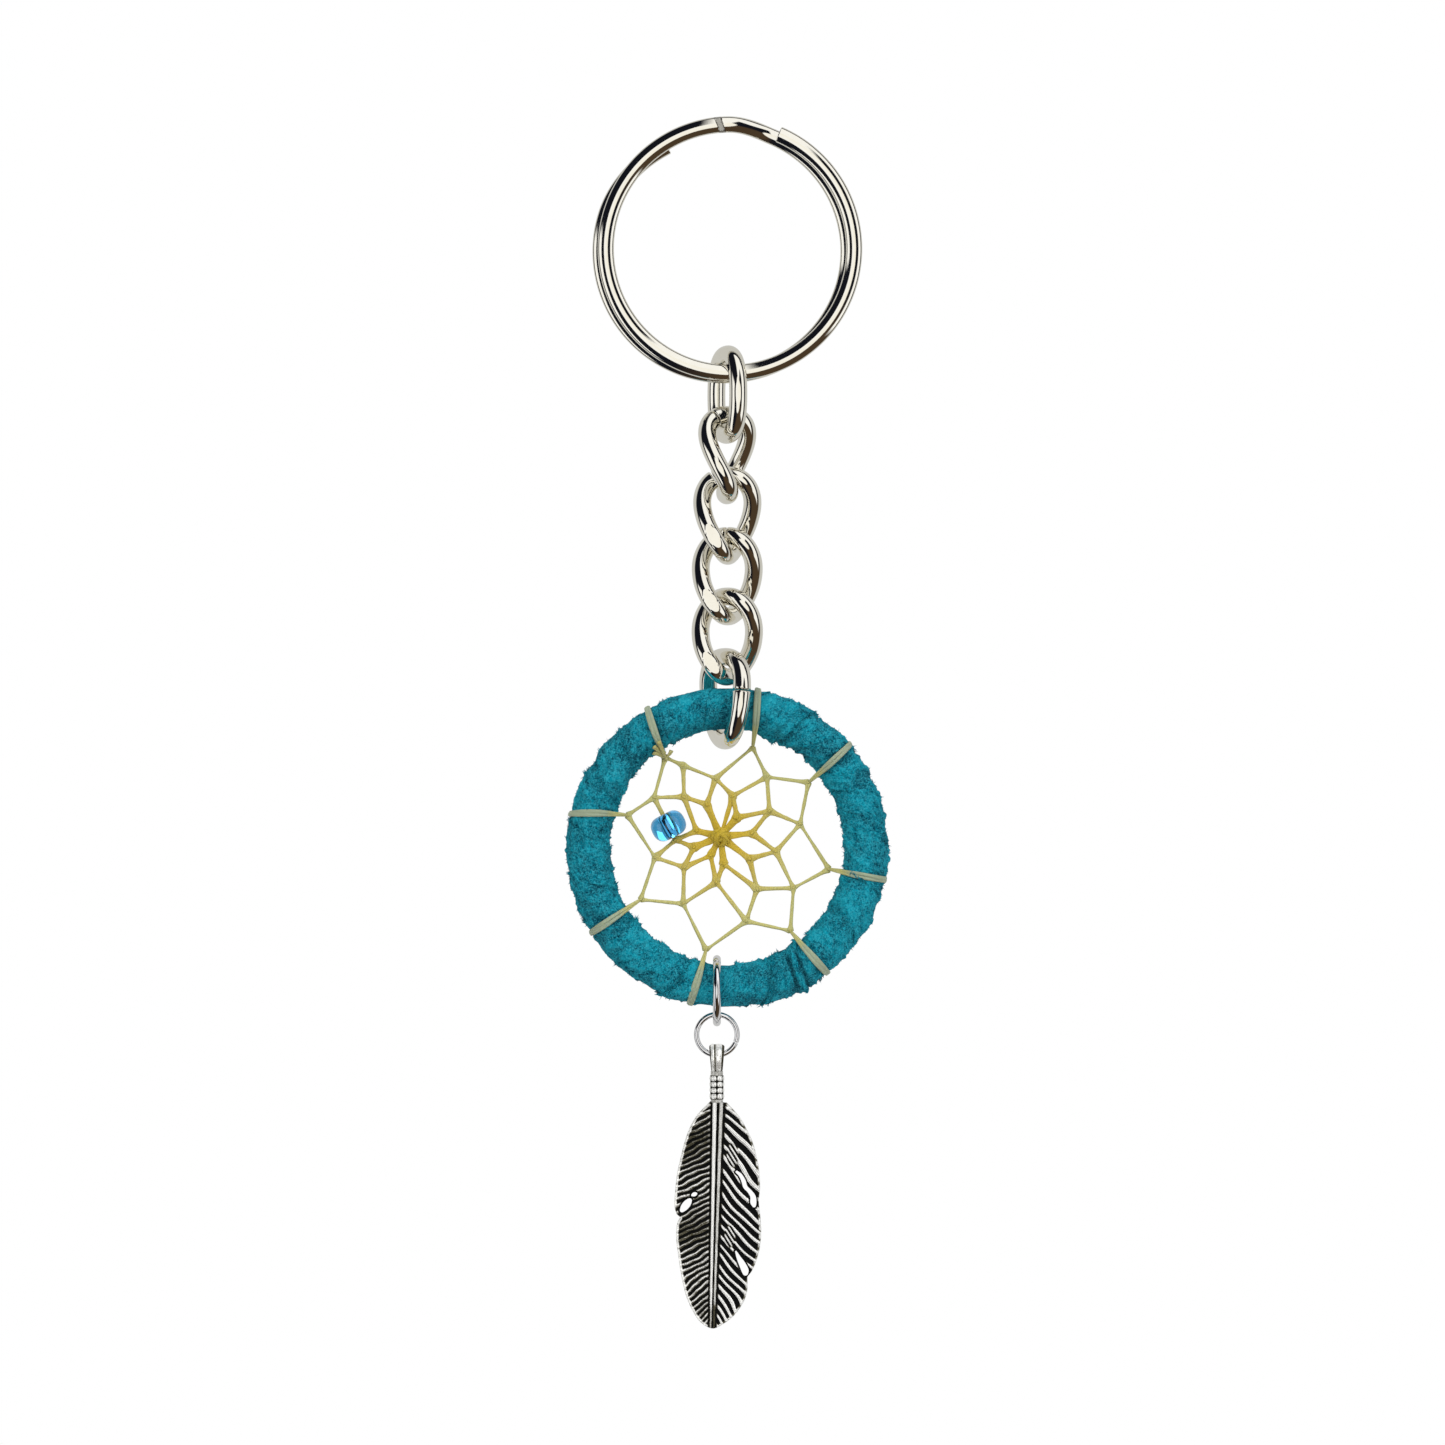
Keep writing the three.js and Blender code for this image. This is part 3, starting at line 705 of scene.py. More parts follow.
@dataclass
class SplitRing:
    """One flattened wire wound almost twice round, its front coil stepped back at a crank."""

    wire_radial: float = 1.8
    wire_axial: float = 1.04
    coil_gap: float = 0.06
    shift_x: float = 0.3
    shift_z: float = 0.1
    start_deg: float = 67.0
    crank_deg: float = 92.0
    end_deg: float = 118.5
    groove_width: float = 0.6
    groove_depth: float = 0.2
    groove_lean: float = -0.3
    groove_past_crank: float = 1.2
    groove_border: float = 0.1
    curl_in: float = 0.52
    curl_deg: float = 46.0
    ring_step: float = 0.075
    section_sides: int = 28
    section_power: float = 1.12
    end_round: float = 0.1
    end_size: float = 0.8
    crease_deg: float = 30.0

    def __post_init__(self) -> None:
        """Takes the ring's place and radius from the frame."""
        low, high = node_box("key_ring")
        self.centre_x = float(low[0] + high[0]) / 2.0
        self.centre_z = float(low[2] + high[2]) / 2.0
        self.radius = float(high[2] - low[2] - 2.0 * self.shift_z - self.wire_radial) / 2.0
        self.sweep = math.radians(720.0 + self.start_deg - self.end_deg)

    def angles(self, share: Array) -> Array:
        """The angle round the ring, which falls from the start by the sweep."""
        return math.radians(self.start_deg) - self.sweep * share

    def path(self, share: Array) -> Array:
        """The coil is -1 in front and +1 behind, with a smooth step between them at the crank. The
        rear end curls inwards."""
        turned = self.sweep * share
        crank = math.radians(360.0 + self.start_deg - self.crank_deg)
        coil = 2.0 * smooth(turned, crank, 2.0 * math.pi) - 1.0
        angle = self.angles(share)
        curl = smooth(turned, self.sweep - math.radians(self.curl_deg), self.sweep + 0.1)
        radius = self.radius - self.curl_in * curl
        return np.stack([
            self.centre_x + radius * np.cos(angle) - coil * self.shift_x,
            coil * (self.wire_axial + self.coil_gap) / 2.0,
            self.centre_z + radius * np.sin(angle) - coil * self.shift_z,
        ], axis=1)

    def outward(self, share: Array) -> Array:
        """Away from the ring's middle."""
        angle = self.angles(share)
        return np.stack([np.cos(angle), np.zeros_like(angle), np.sin(angle)], axis=1)

    def build(self, bench: Bench) -> None:
        """The wire, with a slanting groove pressed into its face where the crank starts."""
        section = oval(self.section_sides, self.section_power)
        shell = wire(self.path, self.outward, self.wire_radial / 2.0, self.wire_axial / 2.0,
                     section, self.ring_step, self.end_round, self.end_size)
        x = shell.points[:, 0] - self.centre_x
        z = shell.points[:, 2] - self.centre_z
        at = math.radians(self.crank_deg + self.groove_past_crank)
        around = (np.arctan2(z, x) - at) * self.radius
        around = around + self.groove_lean * (np.hypot(x, z) - self.radius)
        half = self.groove_width / 2.0
        front = shell.points[:, 1] < -self.coil_gap
        face = front & (np.abs(around) < half)
        floor = -self.wire_axial - self.coil_gap / 2.0 + self.groove_depth
        shell.points[face, 1] = np.maximum(shell.points[face, 1], floor)
        beyond = np.abs(around) - half
        # 1 on the groove's floor and about 0.5 on its border, where the nickel finish paints shade
        # along the edges.
        cut = 1.0 - smooth(beyond, -0.6 * self.groove_border, self.groove_border)
        shell.marks["cut"] = front * cut
        bench.lay(shell, "split_ring", "key_ring", Finish.NICKEL, ("key_ring",),
                  crease=self.crease_deg)


# ---- Chain --------------------------------------------------------------------------------------


@dataclass
class CurbLink:
    """One link: a squarish oval of round wire, twisted from top to bottom and maybe ground flat.

    The angles are in degrees. half_width is half the width of the wire's centre line.
    """

    number: int
    facing: float
    twist: float
    seam: float
    flat_tilt: float = 0.0
    half_width: float = 2.975
    wire_width: float = 2.05
    squareness: float = 2.4
    butt_gap: float = 0.08
    play: float = 0.03
    ring_step: float = 0.11
    section_sides: int = 40
    end_round: float = 0.16
    end_size: float = 0.78
    crease_deg: float = 24.0

    def __post_init__(self) -> None:
        """Takes the link's place and size from the frame."""
        self.low, self.high = node_box(f"chain_link_{self.number}")
        self.centre = (self.low + self.high) / 2.0
        self.half_height = float(self.high[2] - self.low[2] - self.wire_width) / 2.0

    def round_angle(self, share: Array) -> Array:
        """The angle round the oval from its right side, starting at the seam."""
        slit = self.butt_gap / (2.0 * math.pi * self.half_width)
        return math.radians(self.seam) + 2.0 * math.pi * (slit / 2.0 + (1.0 - slit) * share)

    def path(self, share: Array) -> Array:
        """cos and sin of the angle raised to 2 / squareness, turned about Z by the height."""
        angle = self.round_angle(share)
        power = 2.0 / self.squareness
        across = self.half_width * np.sign(np.cos(angle)) * np.abs(np.cos(angle)) ** power
        height = self.half_height * np.sign(np.sin(angle)) * np.abs(np.sin(angle)) ** power
        turn = np.radians(self.facing - self.twist * height / (2.0 * self.half_height))
        return self.centre * (1.0, 0.0, 1.0) + np.stack(
            [across * np.cos(turn), across * np.sin(turn), height], axis=1)

    def outward(self, share: Array) -> Array:
        """Away from the oval's middle, in its turned plane."""
        angle = self.round_angle(share)
        turn = np.radians(self.facing - self.twist * np.sin(angle) / 2.0)
        return np.stack([np.cos(angle) * np.cos(turn), np.cos(angle) * np.sin(turn),
                         np.sin(angle)], axis=1)

    def build(self, bench: Bench) -> None:
        """The wire, with what stands past the frame's flat faces ground off."""
        half = self.wire_width / 2.0 - self.play
        shell = wire(self.path, self.outward, half, half, oval(self.section_sides),
                     self.ring_step, self.end_round, self.end_size)
        lean = self.flat_tilt * (shell.points[:, 0] - self.centre[0])
        shell.points[:, 1] = np.clip(shell.points[:, 1], self.low[1] + lean + abs(self.flat_tilt),
                                     self.high[1] + lean - abs(self.flat_tilt))
        bench.lay(shell, f"curb_link_{self.number}", f"link_{self.number}", Finish.NICKEL,
                  (f"chain_link_{self.number}",), crease=self.crease_deg)


@dataclass
class CurbChain:
    """The six links between the key ring and the hoop: the last one is wider than the others."""

    links: tuple[CurbLink, ...] = (
        CurbLink(1, -66.0, 0.0, 250.0),
        CurbLink(2, 58.0, 90.0, 115.0),
        CurbLink(3, 30.0, 90.0, 115.0),
        CurbLink(4, 15.0, 90.0, 90.0),
        CurbLink(5, 10.0, 90.0, 115.0, flat_tilt=0.03),
        CurbLink(6, -64.0, -16.0, 8.0, half_width=4.005),
    )

    def build(self, bench: Bench) -> None:
        """Every link."""
        for link in self.links:
            link.build(bench)


# ---- Hoop ---------------------------------------------------------------------------------------


class HoopFrame:
    """The hoop's centre line, from the frame: a circle round centre in the plane Y = 0."""

    def __init__(self) -> None:
        """Reads the core wire's box."""
        low, high = node_box("hoop_core")
        self.centre = (low + high) / 2.0
        self.core = float(high[1] - low[1]) / 2.0
        self.radius = float(high[0] - low[0]) / 2.0 - self.core

    def at(self, degrees: Array | float, radius: Array | float, y: Array | float = 0.0) -> Array:
        """Points at angles from +X and distances from the centre."""
        turn = np.radians(degrees)
        parts = np.broadcast_arrays(radius * np.cos(turn), y, radius * np.sin(turn))
        return self.centre + np.stack(parts, axis=-1)

    def round_tube(self, degrees: Array | float, wound: Array, height: Array | float) -> Array:
        """Points round the tube: wound is 0 at its inner side, pi at its outer side, and the
        front is between pi and 2 pi. Height is the distance from the centre line."""
        return self.at(degrees, self.radius - height * np.cos(wound), height * np.sin(wound))


@dataclass
class WrappedHoop:
    """One suede lace wound round the core wire, each turn lapping over the one before."""

    hoop: HoopFrame
    turns: int = 19
    start_deg: float = -46.0
    end_gap_deg: float = 1.5
    lead_in: float = 0.6
    half_cover: float = 0.545
    top: float = 2.38
    tilt: float = 0.05
    thickness: float = 0.9
    lap_thickness: float = 0.3
    end_lift: float = 0.3
    end_narrowing: float = 0.36
    pleat_deg: float = -60.0
    pleat_height: float = 0.5
    press_depth: float = 0.1
    fold_depth: float = 0.6
    sunk_under_thread: float = 0.09
    swell_height: float = 0.065
    clump_height: float = 0.065
    nap_height: float = 0.03
    grain_height: float = 0.015
    tuft_height: float = 0.24
    rows_per_turn: int = 92
    over_columns: int = 42
    edge_columns: int = 2
    under_columns: int = 4
    hitch_degrees: tuple[float, ...] = ()
    fibres: int = 8200

    def __post_init__(self) -> None:
        """Works out how far one turn moves on round the hoop."""
        sweep = 360.0 - self.end_gap_deg - 360.0 / self.turns
        self.pitch = sweep / (self.turns - 1)
        self.rng = np.random.default_rng(19)

    def rising(self, turn: Array) -> Array:
        """0 until the last turn, 1 where that turn lies over the first one."""
        return smooth(turn, self.turns - 1.1, self.turns - 0.3)

    def pressed(self, degrees: Array) -> Array:
        """1 where the last link or the jump ring bears on the lace, 0 elsewhere."""
        share = np.zeros_like(degrees)
        for node in ("chain_link_6", "jump_ring_hoop"):
            low, high = node_box(node)
            x, _, z = (low + high) / 2.0 - self.hoop.centre
            reach = np.degrees(((high[0] - low[0]) / 2.0 + 0.7) / self.hoop.radius)
            away = np.mod(degrees - np.degrees(np.arctan2(z, x)) + 180.0, 360.0) - 180.0
            share = np.maximum(share, 1.0 - smooth(np.abs(away), reach, reach + 5.0))
        return share

    def fold(self, around: Array, front: Array) -> Array:
        """1 along the sharp fold beside the pleat, which slants over the front of the tube."""
        slant = self.pleat_deg - 2.6 + 1.3 * (front - 4.4)
        line = hump(around, slant, 0.75) + 0.7 * hump(around, slant + 4.2, 0.55)
        return np.clip(line, 0.0, 1.0) * smooth(front, 3.2, 3.7) * (1.0 - smooth(front, 5.2, 5.8))

    def top_height(self, turn: Array, across: Array, degrees: Array) -> Array:
        """The lace's upper face, as its distance from the hoop's centre line.

        It falls from the lapping edge to the lapped one, is lifted where the last turn lies over
        the first, swells into a creased pleat with a sharp fold beside it, and sinks where a link
        or the jump ring bears on it and under each loop of thread.

        Args:
            turn: how many turns have been wound.
            across: the place across the lace, in pitches from its middle.
            degrees: the place round the hoop.

        Returns:
            The height at each point.
        """
        wound = 2.0 * np.pi * turn
        height = self.top - self.tilt * across / 0.5
        height = height + self.end_lift * self.rising(turn) * smooth(across, -0.25, 0.35)
        around = np.mod(degrees + 180.0, 360.0) - 180.0
        front = np.mod(wound, 2.0 * np.pi)
        height = height - self.press_depth * self.pressed(around)
        swell = hump(around, self.pleat_deg, 3.6) * hump(front, 3.35, 0.62)
        crease = 0.62 + 0.38 * np.cos(2.0 * np.pi * (around - self.pleat_deg) / 2.3 + front)
        height = height + self.pleat_height * swell * crease
        height = height - self.fold_depth * self.fold(around, front)
        for hitch in self.hitch_degrees:
            away = np.mod(around - hitch + 180.0, 360.0) - 180.0
            height = height - self.sunk_under_thread * hump(away, 0.0, 1.3)
        return height

    def lace(self) -> Shell:
        """The lace: a strip's closed section wound round the tube.

        Returns:
            The strip, with the marks along and across in millimetres and nap from -1 to 1:
            painted light where the lace stands up, painted shade in the fold beside the pleat and on
            its edges and underside.
        """
        rows = int((self.turns + self.lead_in) * self.rows_per_turn)
        turn = np.linspace(-self.lead_in, self.turns, rows)[:, None]
        over, edge, under = self.over_columns, self.edge_columns, self.under_columns
        share = np.linspace(0.0, 1.0, over)[None, :]

        fray = soft_noise(self.rng, (rows, 2), (1.1, 0.01)) * 0.012
        fray = fray + 0.05 * smooth(soft_noise(self.rng, (rows, 2), (1.2, 0.01)), 1.2, 2.6)
        fray = fray + 0.03 * soft_noise(self.rng, (rows, 2), (9.0, 0.01))
        low = -self.half_cover - fray[:, :1]
        narrowed = self.end_narrowing * smooth(turn, self.turns - 0.85, self.turns - 0.25)
        high = self.half_cover + fray[:, 1:] - narrowed
        across = low + (high - low) * share

        degrees = self.start_deg + self.pitch * (turn - 0.5 + across)
        broad = soft_noise(self.rng, (rows, over), (16.0, 7.0))
        clump = soft_noise(self.rng, (rows, over), (3.2, 3.0))
        fine = soft_noise(self.rng, (rows, over), (1.0, 1.0))
        grain = self.rng.standard_normal((rows, over))
        folds = soft_noise(self.rng, (rows, over), (2.6, 11.0))
        near_edge = hump(across, -self.half_cover, 0.32)
        tufts = smooth(soft_noise(self.rng, (rows, over), (1.5, 1.3)), 0.9, 2.4)
        relief = (self.swell_height * broad + self.clump_height * clump + self.nap_height * fine
                  + self.grain_height * grain + self.tuft_height * tufts)
        relief = relief + 0.05 * folds * near_edge
        relief = np.clip(relief * (1.0 - 0.85 * self.pressed(degrees)), -0.25, 0.42)
        top = self.top_height(turn, across, degrees) + relief

        lapped = smooth(across, -self.half_cover, -0.34)
        thick = self.lap_thickness + (self.thickness - self.lap_thickness) * lapped
        thick = thick + self.end_lift * self.rising(turn) * smooth(across, -0.25, 0.2)
        floor = np.maximum(top - thick, self.hoop.core + 0.06)

        pick = np.linspace(over - 1, 0, under).astype(int)
        side = np.linspace(0.0, 1.0, edge + 2)[1:-1][None, :]
        columns = [
            (across, top),
            (np.repeat(across[:, -1:], edge, 1), top[:, -1:] + (floor - top)[:, -1:] * side),
            (across[:, pick], floor[:, pick]),
            (np.repeat(across[:, :1], edge, 1), floor[:, :1] + (top - floor)[:, :1] * side),
        ]
        spot = np.concatenate([part[0] for part in columns], axis=1)
        height = np.concatenate([part[1] for part in columns], axis=1)
        wound = 2.0 * np.pi * turn
        points = self.hoop.round_tube(
            self.start_deg + self.pitch * (turn - 0.5 + spot), wound + 0.0 * spot, height)
        shell = capped(points, points[[0, -1]].mean(axis=1))
        mm_across = self.hoop.radius * math.radians(self.pitch)
        # Painted light and shade: lumps that stand up are lighter, the fold beside the pleat is much
        # darker, and the lace's edges and underside are darker.
        painted_light_and_shade = np.full(height.shape, -0.6)
        around = np.mod(degrees + 180.0, 360.0) - 180.0
        fold_shade_mask = self.fold(around, np.mod(2.0 * np.pi * turn, 2.0 * np.pi) + 0.0 * around)
        painted_light_and_shade[:, :over] = np.clip(0.5 * clump + 0.4 * fine + 0.3 * broad, -1.5, 1.5) - 6.0 * fold_shade_mask
        return shell.marked(
            along=self._padded(turn * 2.0 * np.pi * self.top + 0.0 * spot),
            across=self._padded(spot * mm_across + 7.3 * np.floor(turn)),
            nap=self._padded(painted_light_and_shade),
        )

    @staticmethod
    def _padded(values: Array) -> Array:
        """A value for each grid point, and 0 for the two end points."""
        return np.concatenate([values.ravel(), [0.0, 0.0]])

    def nap(self, lace: Shell) -> Shell:
        """Loose fibres standing on the lace: bent three-sided spikes, many of them at its edges.

        Args:
            lace: the wound lace.

        Returns:
            All fibres as one shell.
        """
        columns = self.over_columns + 2 * self.edge_columns + self.under_columns
        rows = (len(lace.points) - 2) // columns
        grid = lace.points[:-2].reshape(rows, columns, 3)
        count = self.fibres
        row = self.rng.integers(1, rows - 1, count)
        column = self.rng.integers(1, self.over_columns - 1, count)
        at_edge = self.rng.random(count) < 0.45
        column = np.where(at_edge, self.rng.integers(0, 3, count), column)
        base = grid[row, column] - self.hoop.centre
        free = self.pressed(np.degrees(np.arctan2(base[:, 2], base[:, 0]))) < 0.1
        row, column, at_edge = row[free], column[free], at_edge[free]
        count = len(row)
        base = grid[row, column]
        along = unit(grid[row + 1, column] - grid[row - 1, column])
        aside = unit(grid[row, column + 1] - grid[row, np.maximum(column - 1, 0)])
        up = unit(np.cross(along, aside))
        away = base - self.hoop.at(
            np.degrees(np.arctan2(base[:, 2] - self.hoop.centre[2],
                                  base[:, 0] - self.hoop.centre[0])), self.hoop.radius)
        up = up * np.sign((up * away).sum(axis=1, keepdims=True))
        lean = self.rng.normal(0.0, 0.7, (count, 2))
        lean[:, 1] = np.where(at_edge, -np.abs(lean[:, 1]) - 0.4, lean[:, 1])
        ahead = unit(up + lean[:, :1] * along + lean[:, 1:] * aside)
        length = self.rng.uniform(0.12, 0.38, (count, 1)) * np.where(at_edge, 1.3, 1.0)[:, None]
        width = self.rng.uniform(0.03, 0.075, (count, 1))
        curl = unit(self.rng.standard_normal((count, 3)))
        first = unit(np.cross(ahead, curl))
        second = np.cross(ahead, first)
        turns = 2.0 * np.pi * np.arange(3) / 3.0
        ring = (first[:, None] * np.cos(turns)[None, :, None]
                + second[:, None] * np.sin(turns)[None, :, None]) * width[:, None]
        root = base - up * 0.04
        middle = root + ahead * length * 0.55
        tip = root + ahead * length + curl * length * 0.3
        points = np.concatenate([root[:, None] + ring, middle[:, None] + ring * 0.7,
                                 tip[:, None]], axis=1)
        start = 7 * np.arange(count)[:, None, None]
        quads = np.array([[0, 1, 4, 3], [1, 2, 5, 4], [2, 0, 3, 5]])[None] + start
        ends = np.array([[3, 4, 6], [4, 5, 6], [5, 3, 6], [0, 2, 1]])[None] + start
        shell = Shell(points.reshape(-1, 3), [quads.reshape(-1, 4), ends.reshape(-1, 3)])
        # Each fibre's tone is shifted at random, mostly lighter: partly random tone, partly painted
        # light on fibres that stand up.
        lift = np.repeat(self.rng.uniform(-0.2, 1.6, count), 7)
        return shell.turned_out().marked(
            along=np.repeat(self.rng.uniform(0.0, 90.0, count), 7),
            across=np.repeat(self.rng.uniform(0.0, 90.0, count), 7), nap=lift)

    def build(self, bench: Bench) -> None:
        """The lace with its loose fibres, and the finish on the core wire."""
        lace = self.lace()
        bench.lay(lace, "suede_lace", "hoop", Finish.SUEDE, ("suede_wrap",))
        bench.lay(self.nap(lace), "suede_fibres", "hoop", Finish.SUEDE)
        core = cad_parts["hoop_core"].data
        core.materials.clear()
        core.materials.append(bench.finishes[Finish.CORE])


# ---- Web ----------------------------------------------------------------------------------------

# Corners of the web by row, from the hoop inwards: angle in degrees and share of the opening.
WEB_CORNERS = {
    "a": ((124.6, 0.93), (75.7, 0.877), (38.6, 0.885), (-12.1, 0.885),
          (-53.0, 0.892), (-101.7, 0.892), (211.1, 0.862), (162.1, 0.892)),
    "b": ((99.7, 0.595), (60.6, 0.688), (17.7, 0.651), (-31.6, 0.662),
          (-75.6, 0.649), (232.0, 0.61), (187.9, 0.622), (145.8, 0.754)),
    "c": ((83.8, 0.441), (40.8, 0.474), (-4.9, 0.416), (-54.4, 0.435),
          (252.5, 0.312), (204.7, 0.406), (171.8, 0.444), (130.6, 0.567)),
    "d": ((71.8, 0.267), (29.7, 0.242), (-27.6, 0.213), (258.0, 0.145),
          (206.3, 0.159), (180.0, 0.285), (151.9, 0.298), (115.6, 0.404)),
}
EXTRA_CORNER = (118.3, 0.792)
# Where each loop lies over the lace, and a direction that no turn of thread has as its axis.
HITCH_DEGREES = (119.7, 79.1, 40.1, -11.5, -51.3, -103.5, 212.1, 167.9)
OFF_AXIS = (0.31, 0.83, 0.46)


@dataclass
class SinewWeb:
    """Waxed thread netted inside the hoop: strands, half hitches, loops over the lace, the hub
    and the starting knot with its tails."""

    hoop: HoopFrame
    opening: float = 13.0
    hub_x: float = -0.75
    hub_z: float = 1.18
    strand_widths: tuple[float, ...] = (0.38, 0.45, 0.52, 0.78)
    depth: float = 0.15
    lace_top: float = 2.42
    fan_deg: float = 0.62
    gold_reach: float = 7.5
    strand_rows: int = 30
    strand_overlap: float = 0.12
    free_rows: int = 8
    lace_rows: int = 60

    def __post_init__(self) -> None:
        """Places the corners and the hub."""
        self.rows = {row: [self.corner(spot) for spot in spots]
                     for row, spots in WEB_CORNERS.items()}
        self.extra = self.corner(EXTRA_CORNER)
        self.hub = self.hoop.centre + np.array([self.hub_x, 0.0, self.hub_z])
        self.rng = np.random.default_rng(8)

    def corner(self, spot: tuple[float, float]) -> Array:
        """A corner from its angle and its share of the opening."""
        return self.hoop.at(spot[0], spot[1] * self.opening)

    def strands(self) -> list[tuple[Array, Array, int]]:
        """Both ends of every strand and the row it starts from, 0 outside to 3 at the hub."""
        a, b, c, d = (self.rows[row] for row in "abcd")
        made = [(a[0], self.extra, 0), (self.extra, b[0], 0), (self.extra, c[7], 1)]
        count = len(a)
        for i in range(count):
            after = (i + 1) % count
            if i > 0:
                made.append((a[i], b[i], 0))
            made.append((a[after], b[i], 0))
            made.append((b[i], c[i], 1))
            if i < count - 1:
                made.append((b[after], c[i], 1))
            made.append((c[i], d[i], 2))
            if i < count - 1:
                made.append((c[after], d[i], 2))
            made.append((d[i], self.hub, 3))
        return made + [(b[0], d[7], 2), (c[0], self.hub, 2)]

    def goldness(self, points: Array) -> Array:
        """How deep the thread's colour is: 1 at the hub, fading over the gold reach."""
        away = np.linalg.norm((points - self.hub)[:, [0, 2]], axis=1)
        return np.clip(1.12 - away / self.gold_reach, 0.0, 1.0)

    def strand(self, start: Array, end: Array, row: int) -> Shell:
        """One flat strand that flares where it meets a corner.

        Args:
            start: its outer end.
            end: its inner end.
            row: its row, which sets its width.

        Returns:
            The strand.
        """
        length = float(np.linalg.norm(end - start))
        ahead = (end - start) / length
        run = np.linspace(-self.strand_overlap, length + self.strand_overlap, self.strand_rows)
        path = start + run[:, None] * ahead
        path[:, 1] += self.rng.uniform(-0.06, 0.06) + 0.05 * np.sin(np.pi * run / length)
        flare = hump(run, 0.0, 0.5) + hump(run, length, 0.5)
        taper = 1.0 + self.rng.uniform(-0.4, 0.4) * (2.0 * run / length - 1.0)
        uneven = 1.0 + 0.04 * soft_noise(self.rng, (self.strand_rows,), (2.0,))
        width = self.strand_widths[row] / 2.0 * taper * uneven + 0.17 * flare
        aside = np.cross(ahead, (0.0, 1.0, 0.0))
        twist = self.rng.uniform(-0.5, 0.5) * np.sin(np.pi * np.clip(run / length, 0.0, 1.0))
        side = aside * np.cos(twist)[:, None] + np.array([0.0, 1.0, 0.0]) * np.sin(twist)[:, None]
        taper_ends = np.sqrt(np.clip(np.minimum(run + 0.14, length + 0.14 - run) / 0.12, 0.0, 1.0))
        shell = carried(path, side, width * taper_ends, self.depth * taper_ends, oval(12, 0.85))
        return shell.marked(gold=self.goldness(shell.points) + 0.1 * (row > 0), over=0.0)

    def loop(self, middle: Array, axis: Array, radius: float, half: float,
             wobble: float = 0.0) -> Shell:
        """One closed turn of thread round an axis.

        Args:
            middle: the turn's middle.
            axis: the direction it goes round.
            radius: its centre line's radius.
            half: half the thread's width.
            wobble: how far it moves to and fro along the axis.

        Returns:
            The turn.
        """
        axis = unit(axis)
        first = unit(np.cross(axis, OFF_AXIS))
        second = np.cross(axis, first)
        turn = 2.0 * np.pi * np.arange(28) / 28
        out = np.cos(turn)[:, None] * first + np.sin(turn)[:, None] * second
        slide = wobble * np.sin(2.0 * turn + self.rng.uniform(0.0, 6.0))
        path = middle + radius * out + slide[:, None] * axis
        shell = carried(path, out, half, half, oval(10), ring=True)
        return shell.marked(gold=self.goldness(shell.points) + 0.16, over=0.0)

    def hitches(self) -> list[Shell]:
        """At each corner the thread is turned once round the strand it hangs on."""
        made = []
        for row in "abcd":
            for corner in self.rows[row]:
                out = unit(corner - self.hoop.centre)
                along = np.cross(out, (0.0, 1.0, 0.0))
                tilt = along + out * self.rng.uniform(-0.35, 0.35)
                half = 0.13 if row in "ab" else 0.16
                made.append(self.loop(corner, tilt, 0.15, half))
        made.append(self.loop(self.extra, unit(self.extra - self.hoop.centre), 0.15, 0.13))
        return made

    def centre_knot(self) -> list[Shell]:
        """The hub: turns of thread drawn tight round the middle, and two more across them."""
        made = []
        for turn, face, radius, half in ((0.4, 0.5, 0.8, 0.34), (1.1, 0.3, 0.9, 0.3),
                                         (1.8, 0.6, 0.78, 0.34), (2.6, 0.35, 0.88, 0.32),
                                         (0.7, -0.5, 0.5, 0.34), (2.1, -0.4, 0.56, 0.34)):
            axis = np.array([np.cos(turn), face, np.sin(turn)])
            shift = self.rng.uniform(-0.14, 0.14, 3) * (1.0, 0.6, 1.0)
            made.append(self.loop(self.hub + shift, axis, radius, half, 0.14))
        made.append(self.loop(self.hub, np.array([0.1, 1.0, 0.1]), 0.85, 0.24, 0.1))
        return made

    def lace_loop(self, index: int, fan: float) -> Shell:
        """One strand from a corner of the outer row, round the wrapped hoop and back.

        It leaves the lace at the angle where a straight line from the corner touches it.

        Args:
            index: which loop.
            fan: -1 or 1, the side to which it spreads over the lace.

        Returns:
            The strand.
        """
        corner = self.rows["a"][index]
        start_deg, start_share = WEB_CORNERS["a"][index]
        first = start_share * self.opening
        height = self.lace_top + 0.1
        leave = math.acos(min(height / (self.hoop.radius - first), 0.999))
        wound = np.linspace(leave, 2.0 * np.pi - leave, self.lace_rows)
        outside = (1.0 - np.cos(wound)) / 2.0
        turned = (HITCH_DEGREES[index] - start_deg + 180.0) % 360.0 - 180.0
        run = (self.hoop.radius - height * np.cos(wound) - first) / (self.hoop.radius + height - first)
        apart = np.sin(np.pi * np.clip(run, 0.0, 1.0)) + 0.35 * np.clip(run, 0.0, 1.0)
        degrees = start_deg + turned * run + fan * self.fan_deg * apart
        bumps = 0.03 * soft_noise(self.rng, (self.lace_rows,), (5.0,))
        round_hoop = self.hoop.round_tube(degrees, wound, height + bumps)
        inward = np.linspace(0.0, 1.0, self.free_rows + 1)[:-1, None]
        front = corner + (0.0, 0.05, 0.0)
        back = corner - (0.0, 0.05, 0.0)
        path = np.concatenate([
            front + inward * (round_hoop[0] - front), round_hoop,
            round_hoop[-1] + (1.0 - inward[::-1]) * (back - round_hoop[-1]),
        ])
        on_lace = np.pad(np.ones(self.lace_rows), self.free_rows)
        on_lace = np.convolve(np.pad(on_lace, 2, mode="edge"), np.ones(5) / 5.0, mode="valid")
        spread = np.pad(outside, self.free_rows)
        width = 0.17 + 0.1 * spread * (1.0 + 0.3 * soft_noise(self.rng, spread.shape, (8.0,)))
        along = self.hoop.at(HITCH_DEGREES[index] + 90.0, 1.0) - self.hoop.centre
        section = oval(12, 0.85)
